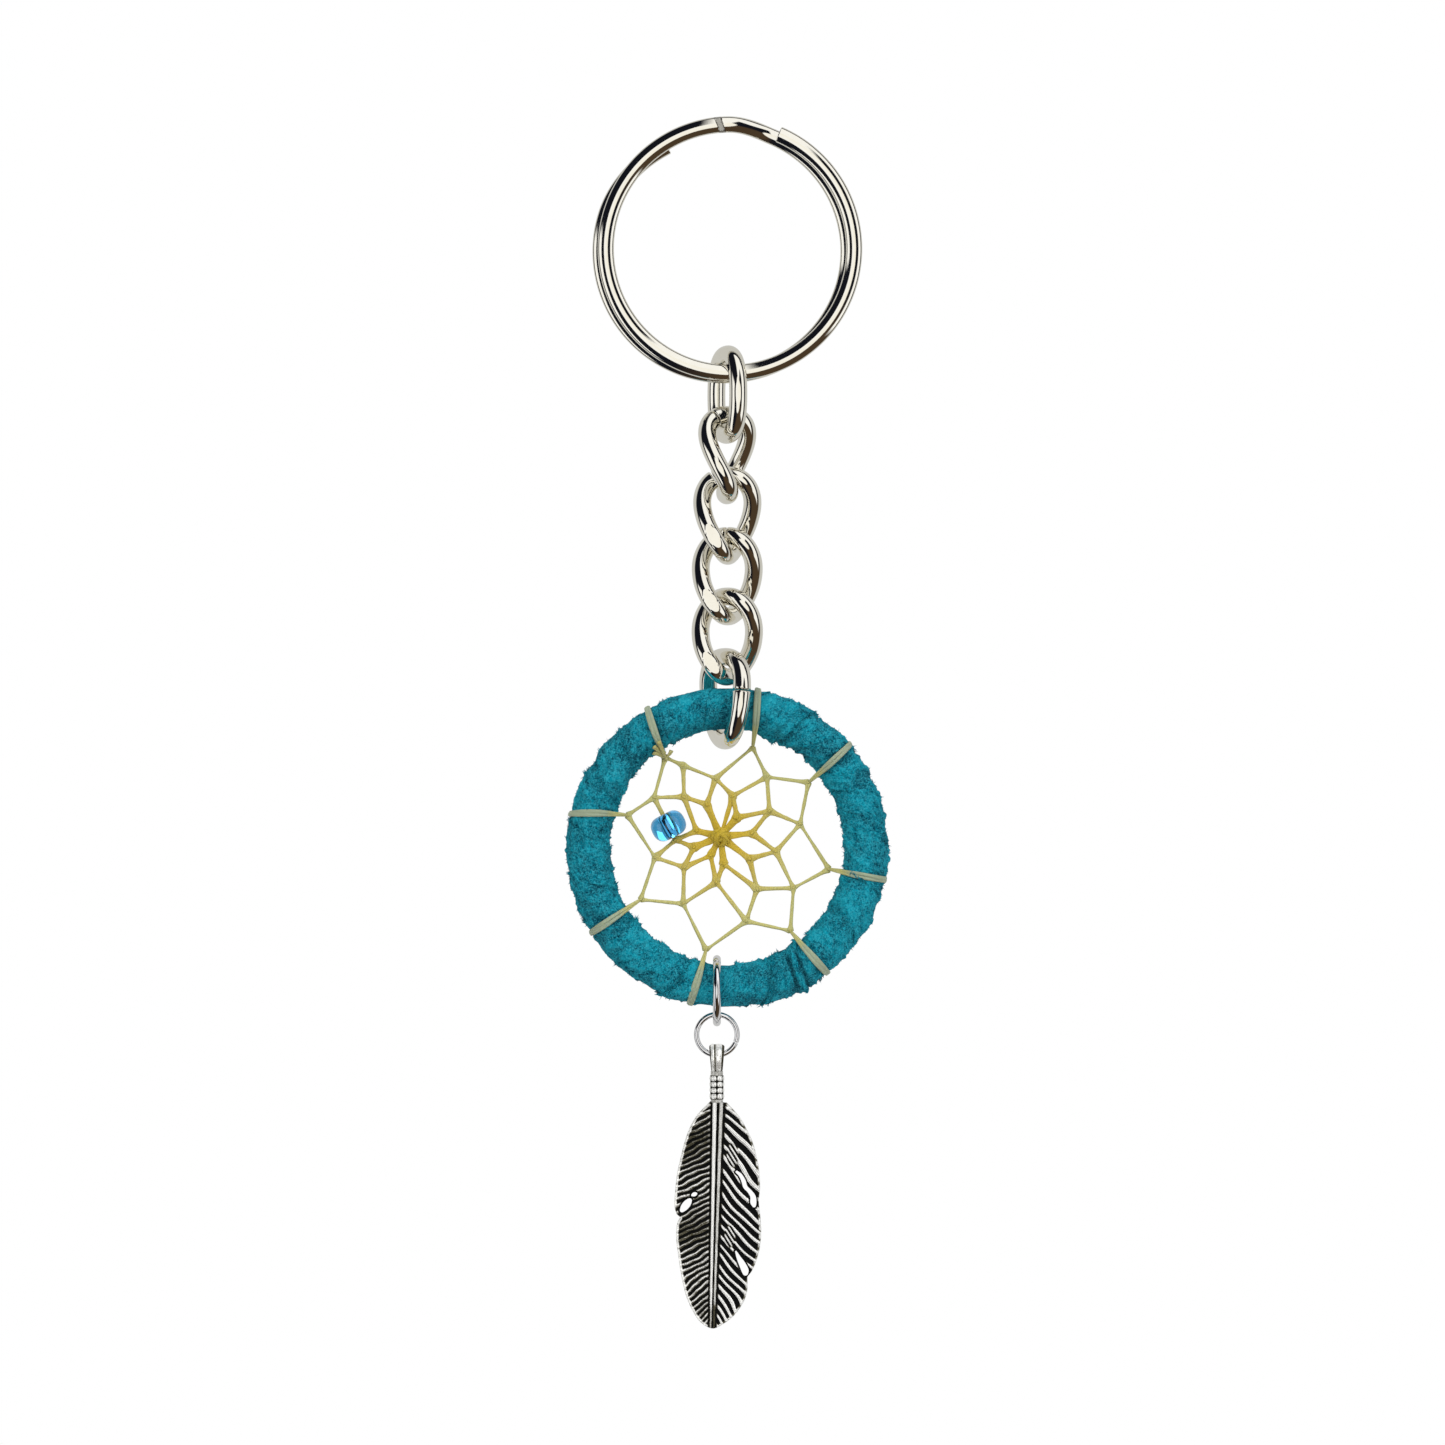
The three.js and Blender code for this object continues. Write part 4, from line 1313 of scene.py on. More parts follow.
        shell = carried(path, np.broadcast_to(along, path.shape), width, 0.12, section)
        over = np.pad(np.repeat(on_lace, len(section)), (0, 2))
        return shell.marked(gold=0.05, over=0.85 * over)

    def tails(self) -> list[Shell]:
        """The starting knot beside the first corner, with two short tails and a frayed end."""
        corner = self.rows["a"][0]
        out = unit(corner - self.hoop.centre)
        aside = np.cross(out, (0.0, 1.0, 0.0))
        made = [
            self.loop(corner + (0.0, -0.1, 0.0), aside, 0.24, 0.2),
            self.loop(corner + 0.35 * out + (0.0, -0.25, 0.0), out + 0.6 * aside, 0.28, 0.19),
            self.loop(corner + 0.15 * out + (0.0, 0.2, 0.0), out - 0.4 * aside, 0.22, 0.2),
        ]
        for across, ahead_out, length in ((-0.95, 0.25, 1.05), (-0.22, 1.0, 1.9), (0.2, 1.0, 1.7),
                                          (0.6, 0.85, 1.35)):
            ahead = unit(aside * across + out * ahead_out)
            run = np.linspace(0.0, length, 16)
            curl = 0.12 * np.sin(run / length * 3.0) * np.sign(across)
            path = corner + run[:, None] * ahead + curl[:, None] * out
            path = path - np.array([0.0, 1.0, 0.0]) * (0.3 + 1.1 * ahead_out * run[:, None])
            width = 0.2 + 0.05 * run / length
            made.append(carried(path, np.broadcast_to(aside, path.shape), width, 0.12, oval(10)))
        for shell in made:
            shell.marked(gold=0.3, over=0.25)
        return made

    def build(self, bench: Bench) -> None:
        """The whole thread as one piece."""
        shells = [self.strand(*ends) for ends in self.strands()]
        shells += self.hitches() + self.centre_knot() + self.tails()
        shells += [self.lace_loop(i, fan) for i in range(len(HITCH_DEGREES)) for fan in (-1.0, 1.0)]
        nodes = ("web_net",) + tuple(f"web_hitch_{i + 1}" for i in range(len(HITCH_DEGREES)))
        bench.lay(joined(shells), "sinew_web", "hoop", Finish.SINEW, nodes)


# ---- Bead ---------------------------------------------------------------------------------------


@dataclass
class GlassBead:
    """A pressed glass bead, turned about its hole, with a silvered hole."""

    diameter: float = 3.9
    height: float = 2.8
    hole: float = 1.2
    lining: float = 0.05
    lip: float = 0.12

    def __post_init__(self) -> None:
        """Takes the bead's place from the frame, and its axis from its strand."""
        low, high = node_box("bead")
        self.centre = (low + high) / 2.0
        web = SinewWeb(HoopFrame())
        self.axis = unit(web.rows["b"][7] - web.rows["c"][6])

    def turned(self, radii: Array, heights: Array, sides: int) -> Shell:
        """A closed profile of radii and heights turned round the bead's axis."""
        turn = 2.0 * np.pi * np.arange(sides) / sides
        side = np.array([0.0, 1.0, 0.0])
        other = np.cross(self.axis, side)
        out = np.cos(turn)[:, None] * side + np.sin(turn)[:, None] * other
        points = (self.centre + out[:, None] * radii[None, :, None]
                  + self.axis * heights[None, :, None])
        faces = [grid_quads(sides, len(radii), True, True)]
        return Shell(points.reshape(-1, 3), faces).turned_out()

    def build(self, bench: Bench) -> None:
        """The glass: half an oval outside, cos to the 0.9 across and sin to the 0.85 along, and a
        straight hole with small round lips. The lining: a thin tube set into the hole's wall."""
        profile = oval(64)
        inner = self.hole / 2.0
        outer = self.diameter / 2.0 - inner - self.lip
        radii = inner + self.lip + np.where(
            profile[:, 0] > 0.0, outer * np.abs(profile[:, 0]) ** 0.9,
            -self.lip * np.abs(profile[:, 0]) ** 0.3)
        heights = self.height / 2.0 * np.sign(profile[:, 1]) * np.abs(profile[:, 1]) ** 0.85
        bench.lay(self.turned(radii, heights, 72), "glass_bead", "bead", Finish.GLASS, ("bead",))
        edge = oval(24, 0.5)
        radii = self.hole / 2.0 + (self.lining / 2.0) * edge[:, 0]
        bench.lay(self.turned(radii, 0.4 * self.height * edge[:, 1], 48), "bead_lining", "bead",
                  Finish.SILVER)


# ---- Jump rings ---------------------------------------------------------------------------------


class RingPlane(Enum):
    """The plane a jump ring hangs in."""

    ALONG_VIEW = (0.0, -1.0, 0.0)
    ACROSS_VIEW = (1.0, 0.0, 0.0)


@dataclass
class JumpRing:
    """Round wire bent to a ring whose ends butt together."""

    node: str
    body: str
    wire_width: float
    plane: RingPlane
    seam: float
    butt_gap: float = 0.08
    ring_step: float = 0.1
    section_sides: int = 28
    end_round: float = 0.08
    end_size: float = 0.8
    crease_deg: float = 40.0

    def __post_init__(self) -> None:
        """Takes the ring's place and radius from the frame."""
        low, high = node_box(self.node)
        self.centre = (low + high) / 2.0
        self.radius = float(high[2] - low[2] - self.wire_width) / 2.0

    def outward(self, share: Array) -> Array:
        """Away from the ring's middle, starting at the seam."""
        slit = self.butt_gap / (2.0 * math.pi * self.radius)
        angle = math.radians(self.seam) + 2.0 * np.pi * (slit / 2.0 + (1.0 - slit) * share)
        up = np.array([0.0, 0.0, 1.0])
        return np.cos(angle)[:, None] * np.array(self.plane.value) + np.sin(angle)[:, None] * up

    def path(self, share: Array) -> Array:
        """The circle of the wire's middle."""
        return self.centre + self.radius * self.outward(share)

    def build(self, bench: Bench) -> None:
        """The wire with slightly rounded ends."""
        half = self.wire_width / 2.0
        shell = wire(self.path, self.outward, half, half, oval(self.section_sides),
                     self.ring_step, self.end_round, self.end_size)
        bench.lay(shell, f"{self.node}_wire", self.body, Finish.SILVER, (self.node,),
                  crease=self.crease_deg)


# ---- Feather ------------------------------------------------------------------------------------

# The vane's edge from its root down the left side to the tip and up the right side, X from the
# charm's axis and Z below the top of the bail. Each stretch is one smooth curve.
VANE_EDGE = (
    ((-0.74, -6.4), (-2.34, -8.1), (-3.36, -10.2), (-3.99, -12.5), (-4.42, -14.5), (-4.63, -16.5),
     (-4.7, -17.8), (-4.5, -18.75), (-4.07, -19.2)),
    ((-4.07, -19.2), (-4.42, -20.0), (-4.5, -21.6), (-4.25, -23.6), (-3.99, -25.4),
     (-3.48, -27.7), (-2.72, -29.5), (-1.83, -30.8), (-0.56, -31.5), (0.58, -31.1),
     (1.98, -30.0), (3.0, -28.5), (3.38, -27.2), (3.38, -25.8)),
    ((3.38, -25.8), (4.02, -24.9), (4.65, -23.1), (4.9, -21.1), (4.83, -19.3), (4.65, -17.5),
     (4.78, -16.0), (4.7, -14.2), (4.4, -12.5), (3.89, -10.7), (3.13, -9.15), (2.36, -7.9),
     (0.97, -6.4)),
)
# Pierced openings: points along the middle of each, with its half width there.
PIERCINGS = (
    ((-3.86, -18.45, 0.24), (-3.6, -18.1, 0.4), (-3.3, -17.72, 0.42), (-3.02, -17.36, 0.26)),
    ((-2.72, -16.78, 0.14), (-2.5, -16.68, 0.24), (-2.32, -16.6, 0.16)),
    ((2.2, -14.2, 0.15), (2.6, -14.55, 0.2), (2.95, -15.2, 0.24), (3.15, -15.85, 0.24),
     (3.62, -16.35, 0.24), (4.0, -16.95, 0.3), (4.04, -17.55, 0.34), (4.12, -17.95, 0.2)),
    ((2.1, -23.0, 0.1), (2.42, -23.7, 0.24), (2.8, -24.4, 0.36), (3.1, -25.05, 0.4),
     (3.16, -25.4, 0.3)),
)


def spline(points: Array, count: int) -> Array:
    """A Catmull-Rom curve through the points: a cubic between each two of them."""
    padded = np.concatenate([2 * points[:1] - points[1:2], points, 2 * points[-1:] - points[-2:-1]])
    at = np.linspace(0.0, len(points) - 1 - 1e-9, count)
    k = at.astype(int)
    t = (at - k)[:, None]
    p0, p1, p2, p3 = (padded[k + i] for i in range(4))
    return 0.5 * (2.0 * p1 + (p2 - p0) * t + (2.0 * p0 - 5.0 * p1 + 4.0 * p2 - p3) * t**2
                  + (3.0 * p1 - p0 - 3.0 * p2 + p3) * t**3)


@dataclass
class FeatherCharm:
    """One casting: a vane with barbs, rim and piercings, a double shaft, a beaded collar and a bail."""

    cell: float = 0.071
    half_edge: float = 0.34
    half_root: float = 0.46
    left_spacing: float = 0.68
    right_spacing: float = 1.02
    fine_spacing: float = 0.72
    barb_height: float = 0.17
    shaft_height: float = 0.26
    rim_width: float = 0.26
    bail_radius: float = 1.6
    bail_wall: float = 0.65
    bail_width: float = 1.7
    collar_bottom: float = 6.62
    beads_top: float = 3.5
    bead_pitch: float = 0.66

    def __post_init__(self) -> None:
        """Takes the charm's place from the frame."""
        self.top = float(node_box("feather_charm")[1][2])
        ring_low, ring_high = node_box("jump_ring_charm")
        self.axis = float(ring_low[0] + ring_high[0]) / 2.0
        self.edge = np.concatenate([spline(np.array(s), 10 * len(s))[:-1] for s in VANE_EDGE])
        self.rng = np.random.default_rng(31)

    def outside(self, spots: Array) -> Array:
        """Signed distance to the vane's edge and its piercings, below 0 on the metal.

        Args:
            spots: X and Z of each point.

        Returns:
            The distance of each point.
        """
        start, end = self.edge, np.roll(self.edge, -1, axis=0)
        along = end - start
        rise = spots[:, None] - start[None]
        share = np.clip((rise * along).sum(-1) / (along**2).sum(-1), 0.0, 1.0)
        near = np.linalg.norm(rise - share[..., None] * along, axis=-1).min(axis=1)
        above = (start[None, :, 1] > spots[:, None, 1]) != (end[None, :, 1] > spots[:, None, 1])
        drop = np.where(along[:, 1] == 0.0, 1e-9, along[:, 1])
        cross = start[:, 0] + (spots[:, None, 1] - start[:, 1]) * along[:, 0] / drop
        inside = (above & (spots[:, None, 0] < cross)).sum(axis=1) % 2 == 1
        distance = np.where(inside, -near, near)
        return np.maximum(distance, -self.from_piercing(spots))

    @staticmethod
    def from_piercing(spots: Array) -> Array:
        """Distance to the nearest piercing, each a row of circles along its middle line."""
        nearest = np.full(len(spots), 99.0)
        for piercing in PIERCINGS:
            line = spline(np.array(piercing), 40)
            away = np.linalg.norm(spots[:, None] - line[None, :, :2], axis=-1) - line[None, :, 2]
            nearest = np.minimum(nearest, away.min(axis=1))
        return nearest

    def shaft_line(self, z: Array) -> tuple[Array, Array]:
        """The shaft's middle and half width at a height: both run straight from root to tip."""
        down = np.clip((-z - 6.1) / 24.4, 0.0, 1.05)
        return 0.14 - 0.64 * down, 0.7 - 0.34 * down

    def barbs(self, x: Array, z: Array) -> tuple[Array, Array]:
        """The barbs' height share and polish.

        A barb leaves the shaft at a height and drops by slope times distance: on the left nearly
        straight, on the right steep at first and then flatter. Both get steeper to the tip.

        Args:
            x: X of each point.
            z: Z of each point.

        Returns:
            The height share from 0 to 1, and the polish from 0 to 1.
        """
        middle, half = self.shaft_line(z)
        down = np.clip((-z - 6.3) / 25.0, 0.0, 1.0)
        left = x < middle
        out = np.maximum(np.abs(x - middle) - half, 0.0)
        left_slope = 0.5 + 0.08 * down + 0.5 * smooth(down, 0.72, 1.0)
        right_slope = 0.72 + 0.5 * smooth(down, 0.05, 0.4) + 0.5 * smooth(down, 0.85, 1.0)
        right_drop = right_slope * out - 0.05 * out**2 * smooth(down, 0.02, 0.3)
        drop = np.where(left, left_slope * out - 0.012 * out**2, right_drop)
        waver = 0.12 * np.sin(1.7 * z + 0.8 * x) + 0.1 * np.sin(0.9 * z - 1.3 * x + 1.0)
        waver = waver + 0.05 * np.sin(3.4 * x + 2.3 * z)
        waver = waver * np.where(left, 1.0, 0.55)
        spacing = np.where(left, self.left_spacing,
                           self.right_spacing + 0.1 * smooth(down, 0.1, 0.45))
        phase = (z + drop) / spacing + waver + np.where(left, 0.35, 0.0)
        place = phase - np.floor(phase)
        number = np.floor(phase)
        vary = 0.5 + 0.5 * np.sin(12.9898 * number + np.where(left, 4.1, 0.0))

        # right: a narrow polished ridge, then a hollow. left: a dull plateau with a bright edge
        ridge_at = 0.26 + 0.08 * vary
        right_ridge = np.clip(1.0 - np.abs(place - ridge_at) / (0.2 + 0.05 * vary), 0.0, 1.0)
        right_height = np.sqrt(right_ridge)
        plateau = smooth(place, 0.34, 0.46) * (1.0 - smooth(place, 0.86, 0.94))
        bright_edge = hump(place, 0.76, 0.075)
        striae = 0.5 + 0.5 * np.sin(2.0 * np.pi * (3.0 * phase + 0.4 * np.sin(3.0 * out + number)))
        dulled = hump(z, -11.5, 3.4) + hump(z, -21.0, 2.2)
        left_height = plateau * (0.62 + 0.16 * striae) + 0.3 * bright_edge
        left_polish = plateau * (0.26 - 0.1 * dulled + 0.2 * striae)
        left_polish = left_polish + bright_edge * (0.4 - 0.3 * dulled + 0.35 * vary)
        root_dot = hump(out, 0.12, 0.17) * plateau
        left_polish = left_polish + 0.65 * root_dot

        # right: fine barbs in two fans, one above each piercing
        fan = hump(x, 1.75, 0.85) * hump(z, -12.3, 1.7) + hump(x, 1.45, 0.75) * hump(z, -21.3, 1.5)
        fan = smooth(fan, 0.35, 0.75) * (~left)
        fine = smooth(np.cos(2.0 * np.pi * (z + 1.5 * out) / self.fine_spacing), -0.3, 0.8)
        right_height = right_height * (1.0 - fan) + (0.2 + 0.5 * fine) * fan
        right_polish = smooth(right_height, 0.3, 0.7) * (0.85 + 0.3 * vary)
        right_polish = right_polish * (1.0 - fan) + 0.8 * fine * fan
        return np.where(left, left_height, right_height), np.where(left, left_polish, right_polish)

    def relief(self, spots: Array, outside: Array) -> tuple[Array, Array]:
        """Height of the vane's face above its middle plane, and its polish.

        The body thins from the shaft to the edge and carries the barbs. A rim follows the edge, whose
        very border is worn half bright, a hollow follows each piercing, and the shaft is two
        half-round ridges with a groove.

        Args:
            spots: X and Z of each point.
            outside: its signed distance to the edge.

        Returns:
            Height in millimetres and polish from 0 to 1.
        """
        x, z = spots[:, 0], spots[:, 1]
        middle, half = self.shaft_line(z)
        out = np.maximum(np.abs(x - middle) - half, 0.0)
        body = self.half_root + (self.half_edge - self.half_root) * smooth(out, 0.0, 4.0)
        share, polish = self.barbs(x, z)
        left = x < middle
        depth = -outside
        rim = smooth(depth, 0.0, 0.07) * (1.0 - smooth(depth, self.rim_width - 0.08,
                                                       self.rim_width + 0.06))
        pierced = self.from_piercing(spots)
        hollow = 1.0 - smooth(pierced, 0.12, 0.24)
        rim = rim * smooth(pierced, 0.3, 0.6) * np.where(left, 1.0, 0.65)
        share = np.maximum(share * (1.0 - hollow), 0.9 * rim)
        wave = 0.75 + 0.25 * np.sin(7.0 * z)
        polish = np.maximum(polish * (1.0 - hollow), rim * wave)
        worn_edge = (1.0 - smooth(depth, 0.03, 0.09)) * smooth(pierced, 0.1, 0.3)
        polish = np.maximum(polish, 0.5 * worn_edge)
        beside = hump(out, 0.0, 0.24) * (out > 0.0)
        share, polish = share * (1.0 - 0.9 * beside), polish * (1.0 - beside)
        height = body + self.barb_height * (share - 0.4)

        across = (x - middle) / half
        ridges = np.sqrt(np.clip(1.0 - ((np.abs(across) - 0.52) / 0.4) ** 2, 0.0, 1.0))
        on_shaft = np.abs(across) <= 1.0
        fade = 1.0 - smooth(-z, 28.3, 29.6)
        lift = self.half_root + self.shaft_height * ridges * (0.35 + 0.65 * fade)
        # Painted highlight: the shaft's left ridge is painted brighter than its right one, on the side
        # the light falls from.
        shaft_polish_and_highlight = smooth(ridges, 0.5, 0.8) * np.where(across < 0.0, 1.0, 0.52)
        shaft_polish_and_highlight = shaft_polish_and_highlight * (0.45 + 0.55 * fade)
        return np.where(on_shaft, lift, height), np.where(on_shaft, shaft_polish_and_highlight, polish)

    def vane(self) -> Shell:
        """Two relief faces on a regular grid, trimmed at the edge and joined by a wall.

        Grid points near the edge are moved onto it along the distance's own slope, then every cell
        whose corners are all on the metal is kept.

        Returns:
            The vane and shaft.
        """
        low = self.edge.min(axis=0) - self.cell
        high = self.edge.max(axis=0) + self.cell
        xs = np.arange(low[0], high[0] + self.cell, self.cell)
        zs = np.arange(low[1], high[1] + self.cell, self.cell)
        spots = np.stack(np.meshgrid(xs, zs, indexing="ij"), axis=-1).reshape(-1, 2)
        shape = (len(xs), len(zs))
        outside = self.outside(spots)
        field_2d = outside.reshape(shape)
        slope = np.stack(np.gradient(field_2d, self.cell), axis=-1).reshape(-1, 2)
        near = np.abs(outside) < 0.62 * self.cell
        moved = spots - unit(slope) * outside[:, None]
        spots = np.where(near[:, None], moved, spots)
        outside = np.where(near, 0.0, outside)
        metal = outside <= 0.0

        quads = grid_quads(*shape, False, False)
        inside = metal[quads]
        full = quads[inside.all(axis=1)]
        three = inside.sum(axis=1) == 3
        corner = np.argmin(inside[three], axis=1)
        order = (corner[:, None] + np.array([1, 2, 3])) % 4
        partial = np.take_along_axis(quads[three], order, axis=1)

        height, polish = self.relief(spots, outside)
        height = np.where(outside > -1e-6, 0.62 * height, height)
        count = len(spots)
        front = np.stack([spots[:, 0], -height, spots[:, 1]], axis=1)
        back = front * (1.0, -1.0, 1.0)
        borders = np.concatenate([
            np.concatenate([full[:, [k, (k + 1) % 4]] for k in range(4)]),
            np.concatenate([partial[:, [k, (k + 1) % 3]] for k in range(3)]),
        ])
        key = borders[:, 0].astype(np.int64) * count + borders[:, 1]
        other = borders[:, 1].astype(np.int64) * count + borders[:, 0]
        rim = borders[~np.isin(key, other)]
        wall = np.stack([rim[:, 1], rim[:, 0], rim[:, 0] + count, rim[:, 1] + count], axis=1)
        points = np.concatenate([front, back])
        faces = [full, partial, full[:, ::-1] + count, partial[:, ::-1] + count, wall]
        used, renumbered = np.unique(np.concatenate([block.ravel() for block in faces]),
                                     return_inverse=True)
        sizes = np.cumsum([0] + [block.size for block in faces])
        blocks = [renumbered[a:b].reshape(block.shape)
                  for a, b, block in zip(sizes[:-1], sizes[1:], faces)]
        shell = Shell(points[used], blocks, {"relief": np.tile(polish, 2)[used]})
        return shell.turned_out()

    def collar(self) -> Shell:
        """A stem with six columns of four beads: its radius swells by the root of |sin| down the
        length times the root of |cos| round it."""
        rows, sides = 84, 72
        share = np.linspace(0.0, 1.0, rows)[:, None]
        turn = (2.0 * np.pi * np.arange(sides) / sides)[None, :]
        start = 2.0 * self.bail_radius - 0.3
        down = start + share * (self.collar_bottom - start)
        place = (down - self.beads_top) / self.bead_pitch
        beaded = (place > 0.0) & (place < 4.0)
        bead = beaded * np.sqrt(np.abs(np.sin(np.pi * place)) * np.abs(np.cos(3.0 * turn)))
        closing = np.sqrt(np.clip(np.minimum(share, 1.0 - share) / 0.03, 0.02, 1.0))
        radius = (0.68 + 0.15 * bead) * closing
        points = np.stack([radius * np.cos(turn), radius * np.sin(turn), -down + 0.0 * turn], axis=-1)
        shell = capped(points, points[[0, -1]].mean(axis=1))
        polish = smooth(bead, 0.3, 0.7) + 0.45 * ~beaded
        return shell.marked(relief=np.concatenate([polish.ravel(), [0.0, 0.0]]))

    def bail(self) -> Shell:
        """A band bent to a loop round X, its outer face a narrow ridge, a groove and a broad ridge."""
        sides, stations = 36, 72
        section = oval(sides, 0.6)
        ridge = hump(section[:, 0], -0.62, 0.24) + hump(section[:, 0], 0.32, 0.4)
        ridge = 0.16 * ridge * (section[:, 1] > 0.0)
        outer = np.where(section[:, 1] > 0.0, section[:, 1] - 0.32 + 2.0 * ridge, section[:, 1])
        half_wall = self.bail_wall / 2.0
        turn = 2.0 * np.pi * np.arange(stations) / stations
        out = np.stack([np.zeros(stations), np.sin(turn), np.cos(turn)], axis=1)
        middle = (self.bail_radius - half_wall) * out + (0.0, 0.0, -self.bail_radius)
        widen = self.bail_width / 2.0 * (0.76 + 0.24 * np.cos(turn / 2.0) ** 2)
        points = (middle[:, None] + out[:, None] * (half_wall * outer)[None, :, None]
                  + np.array([1.0, 0.0, 0.0]) * (widen[:, None] * section[None, :, 0])[..., None])
        shell = Shell(points.reshape(-1, 3), [grid_quads(stations, sides, True, True)])
        polish = np.where(section[:, 1] > 0.0, 0.2 + smooth(ridge, 0.05, 0.13), 0.6)
        return shell.turned_out().marked(relief=np.tile(polish, stations))

    def build(self, bench: Bench) -> None:
        """The casting as one piece."""
        shell = joined([self.vane(), self.collar(), self.bail()])
        shell.points += (self.axis, 0.0, self.top)
        bench.lay(shell, "feather", "feather", Finish.ANTIQUE, ("feather_charm",), crease=60.0)


# ---- Studio -------------------------------------------------------------------------------------


@dataclass
class Studio:
    """A white sweep seen by the camera, a ring of soft boxes seen by the metal, and a floor."""

    view_width: float = 160.0
    lens: float = 135.0
    sensor: float = 36.0
    aim_x: float = -0.55
    aim_z: float = 0.0
    floor_drop: float = 27.0
    floor_radius: float = 92.0
    floor_sides: int = 96

    def camera(self) -> None:
        """A long lens square on to the object, far enough to see the width of the view."""
        middle = np.array((cad_low + cad_high) / 2.0)
        distance = self.view_width * MM * self.lens / self.sensor
        data = bpy.data.cameras.new("camera")
        data.lens, data.sensor_width = self.lens, self.sensor
        data.clip_start, data.clip_end = 0.01, 10.0
        camera = bpy.data.objects.new("camera", data)
        camera.location = (middle[0] + self.aim_x * MM, -distance, middle[2] + self.aim_z * MM)
        camera.rotation_euler = (math.pi / 2.0, 0.0, 0.0)
        bpy.context.collection.objects.link(camera)
        bpy.context.scene.camera = camera

    def floor(self) -> None:
        """A white disc well below the hanging tip."""
        turn = 2.0 * np.pi * np.arange(self.floor_sides) / self.floor_sides
        height = float(cad_low[2]) / MM - self.floor_drop
        rim = np.stack([self.floor_radius * np.cos(turn), self.floor_radius * np.sin(turn),
                        np.full(self.floor_sides, height)], axis=1)
        mesh = bpy.data.meshes.new("floor")
        mesh.from_pydata((rim * MM).tolist(), [], [list(range(self.floor_sides))])
        mesh.materials.append(PaleFloor("pale_floor", linear(252, 252, 252)).made())
        floor = bpy.data.objects.new("floor", mesh)
        bpy.context.collection.objects.link(floor)
        floor.visible_glossy = False

    def soft_box(self, name: str, place: tuple, size: float, power: float, tint: tuple) -> None:
        """One square lamp turned to the middle of the object.

        Args:
            name: the lamp's name.
            place: where it stands from the object's middle, in metres.
            size: its side.
            power: its power in watts.
            tint: its colour.
        """
        data = bpy.data.lights.new(name, "AREA")
        data.shape, data.size, data.energy, data.color = "SQUARE", size, power, tint
        lamp = bpy.data.objects.new(name, data)
        middle = (cad_low + cad_high) / 2.0
        lamp.location = middle + Vector(place)
        lamp.rotation_mode = "QUATERNION"
        lamp.rotation_quaternion = (-Vector(place)).to_track_quat("-Z", "Y")
        lamp.visible_glossy = False
        bpy.context.collection.objects.link(lamp)

    def surroundings(self) -> None:
        """White for the camera. For light and reflections: a small warm box round the lens, boxes to
        the left, to the right and above it, dark between them, and pale behind the object."""
        world = bpy.data.worlds.new("studio")
        world.use_nodes = True
        bpy.context.scene.world = world
        nodes = Nodes(world.node_tree)
        parts = nodes.add("SeparateXYZ", {0: nodes.add("TexCoord").outputs["Generated"]}).outputs
        y = parts["Y"]
        turn = nodes.math("ARCTAN2", parts["Z"], parts["X"])
        tilt = nodes.math("ABSOLUTE", turn)

        def window(value: bpy.types.NodeSocket, low: float, high: float,
                   soft: float) -> bpy.types.NodeSocket:
            """1 between low and high, 0 outside, with soft shoulders."""
            rise = nodes.map(value, low - soft, low + soft, 0.0, 1.0)
            fall = nodes.map(value, high - soft, high + soft, 1.0, 0.0)
            return nodes.math("MULTIPLY", rise, fall)

        white, cream = (1.05, 1.05, 1.04, 1.0), (1.03, 1.01, 0.94, 1.0)
        brown, black = (0.07, 0.045, 0.025, 1.0), (0.007, 0.008, 0.013, 1.0)
        colour = nodes.blend(window(turn, -1.85, -0.4, 0.2), black, brown)
        left = nodes.math("MAXIMUM", window(turn, 2.9, 4.0, 0.05), window(turn, -4.0, -2.2, 0.05))
        start = nodes.map(tilt, 2.1, 2.9, -0.35, -0.68)
        left = nodes.math("MULTIPLY", left, nodes.math("GREATER_THAN", y, start))
        left = nodes.math("MULTIPLY", left, window(y, -1.2, -0.17, 0.015))
        right = nodes.math("MULTIPLY", window(turn, -0.62, 1.72, 0.05), window(y, -0.68, -0.22, 0.015))
        top = nodes.math("MULTIPLY", window(turn, 0.95, 1.72, 0.05), window(y, -0.96, -0.17, 0.015))
        boxes = nodes.math("MAXIMUM", nodes.math("MAXIMUM", left, right), top)
        colour = nodes.blend(boxes, colour, white)
        centre = nodes.blend(nodes.map(parts["X"], -0.12, 0.08, 0.0, 1.0), white, cream)
        colour = nodes.blend(nodes.map(y, -0.92, -0.935, 0.0, 1.0), colour, centre)
        colour = nodes.blend(nodes.map(y, 0.05, 0.2, 0.0, 1.0), colour, (0.62, 0.62, 0.6, 1.0))
        seen = nodes.add("LightPath").outputs["Is Camera Ray"]
        colour = nodes.blend(seen, colour, (1.0, 1.0, 1.0, 1.0))
        back = nodes.add("Background", {"Color": colour, "Strength": 1.0})
        nodes.add("OutputWorld", {"Surface": back.outputs[0]})

    def build(self) -> None:
        """Camera, floor, surroundings and lamps, with colours shown as they are."""
        self.camera()
        self.floor()
        self.surroundings()
        self.soft_box("key", (-0.3, -0.45, 0.4), 0.4, 3.4, (1.0, 0.98, 0.95))
        self.soft_box("fill", (0.45, -0.4, 0.1), 0.5, 1.8, (0.97, 0.98, 1.0))
        self.soft_box("rear", (0.1, 0.5, 0.35), 0.5, 1.6, (1.0, 1.0, 1.0))
        bpy.context.scene.view_settings.view_transform = "Standard"


# ---- Assembly -----------------------------------------------------------------------------------


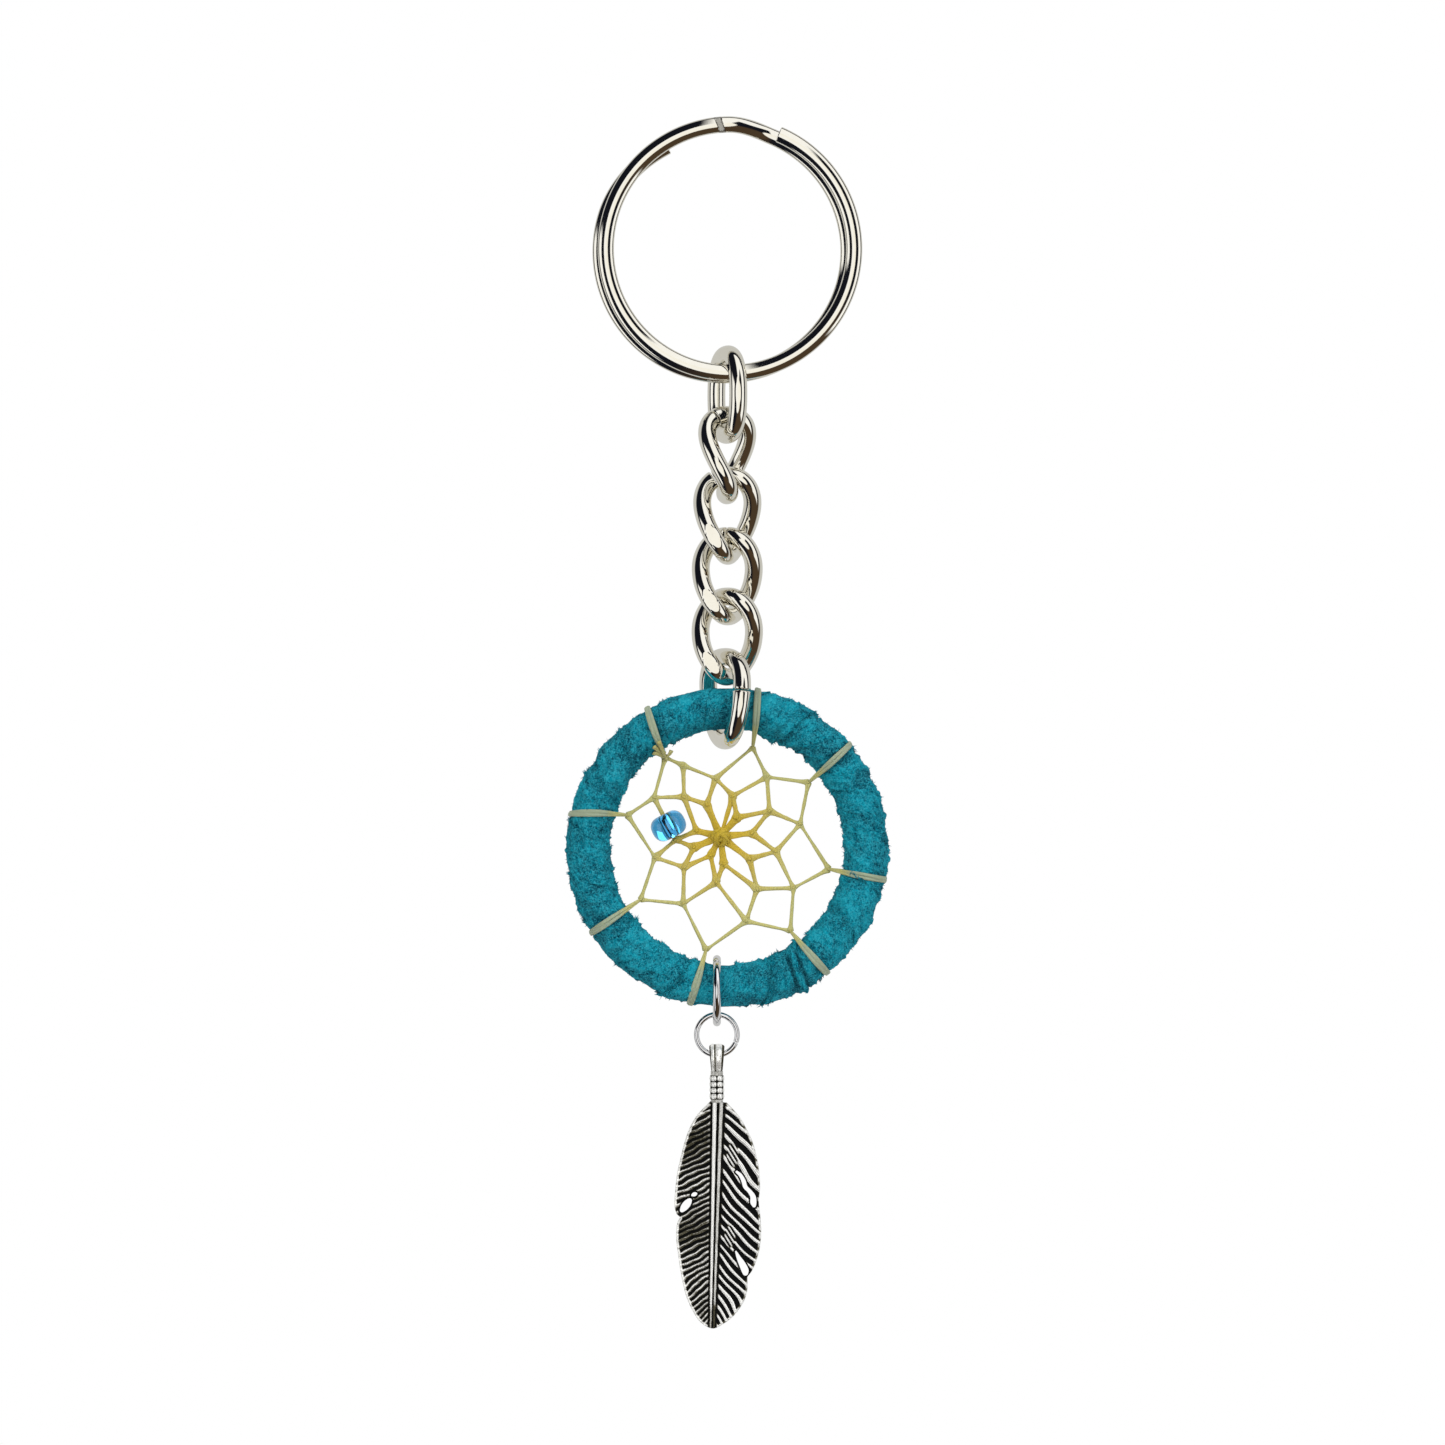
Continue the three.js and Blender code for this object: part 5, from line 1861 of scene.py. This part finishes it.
def main() -> None:
    """Builds every sub-assembly in order."""
    logging.basicConfig(level=logging.INFO, format="%(name)s %(message)s")
    Studio().build()
    bench = Bench(make_finishes())
    hoop = HoopFrame()
    assemblies = [
        SplitRing(),
        CurbChain(),
        WrappedHoop(hoop, hitch_degrees=HITCH_DEGREES),
        SinewWeb(hoop),
        GlassBead(),
        JumpRing("jump_ring_hoop", "hoop_jump_ring", 0.88, RingPlane.ALONG_VIEW, 60.0),
        JumpRing("jump_ring_charm", "charm_jump_ring", 0.6, RingPlane.ACROSS_VIEW, -22.0),
        FeatherCharm(),
    ]
    for assembly in assemblies:
        assembly.build(bench)
        LOG.info("%s done", type(assembly).__name__)


if __name__ == "__main__":
    main()
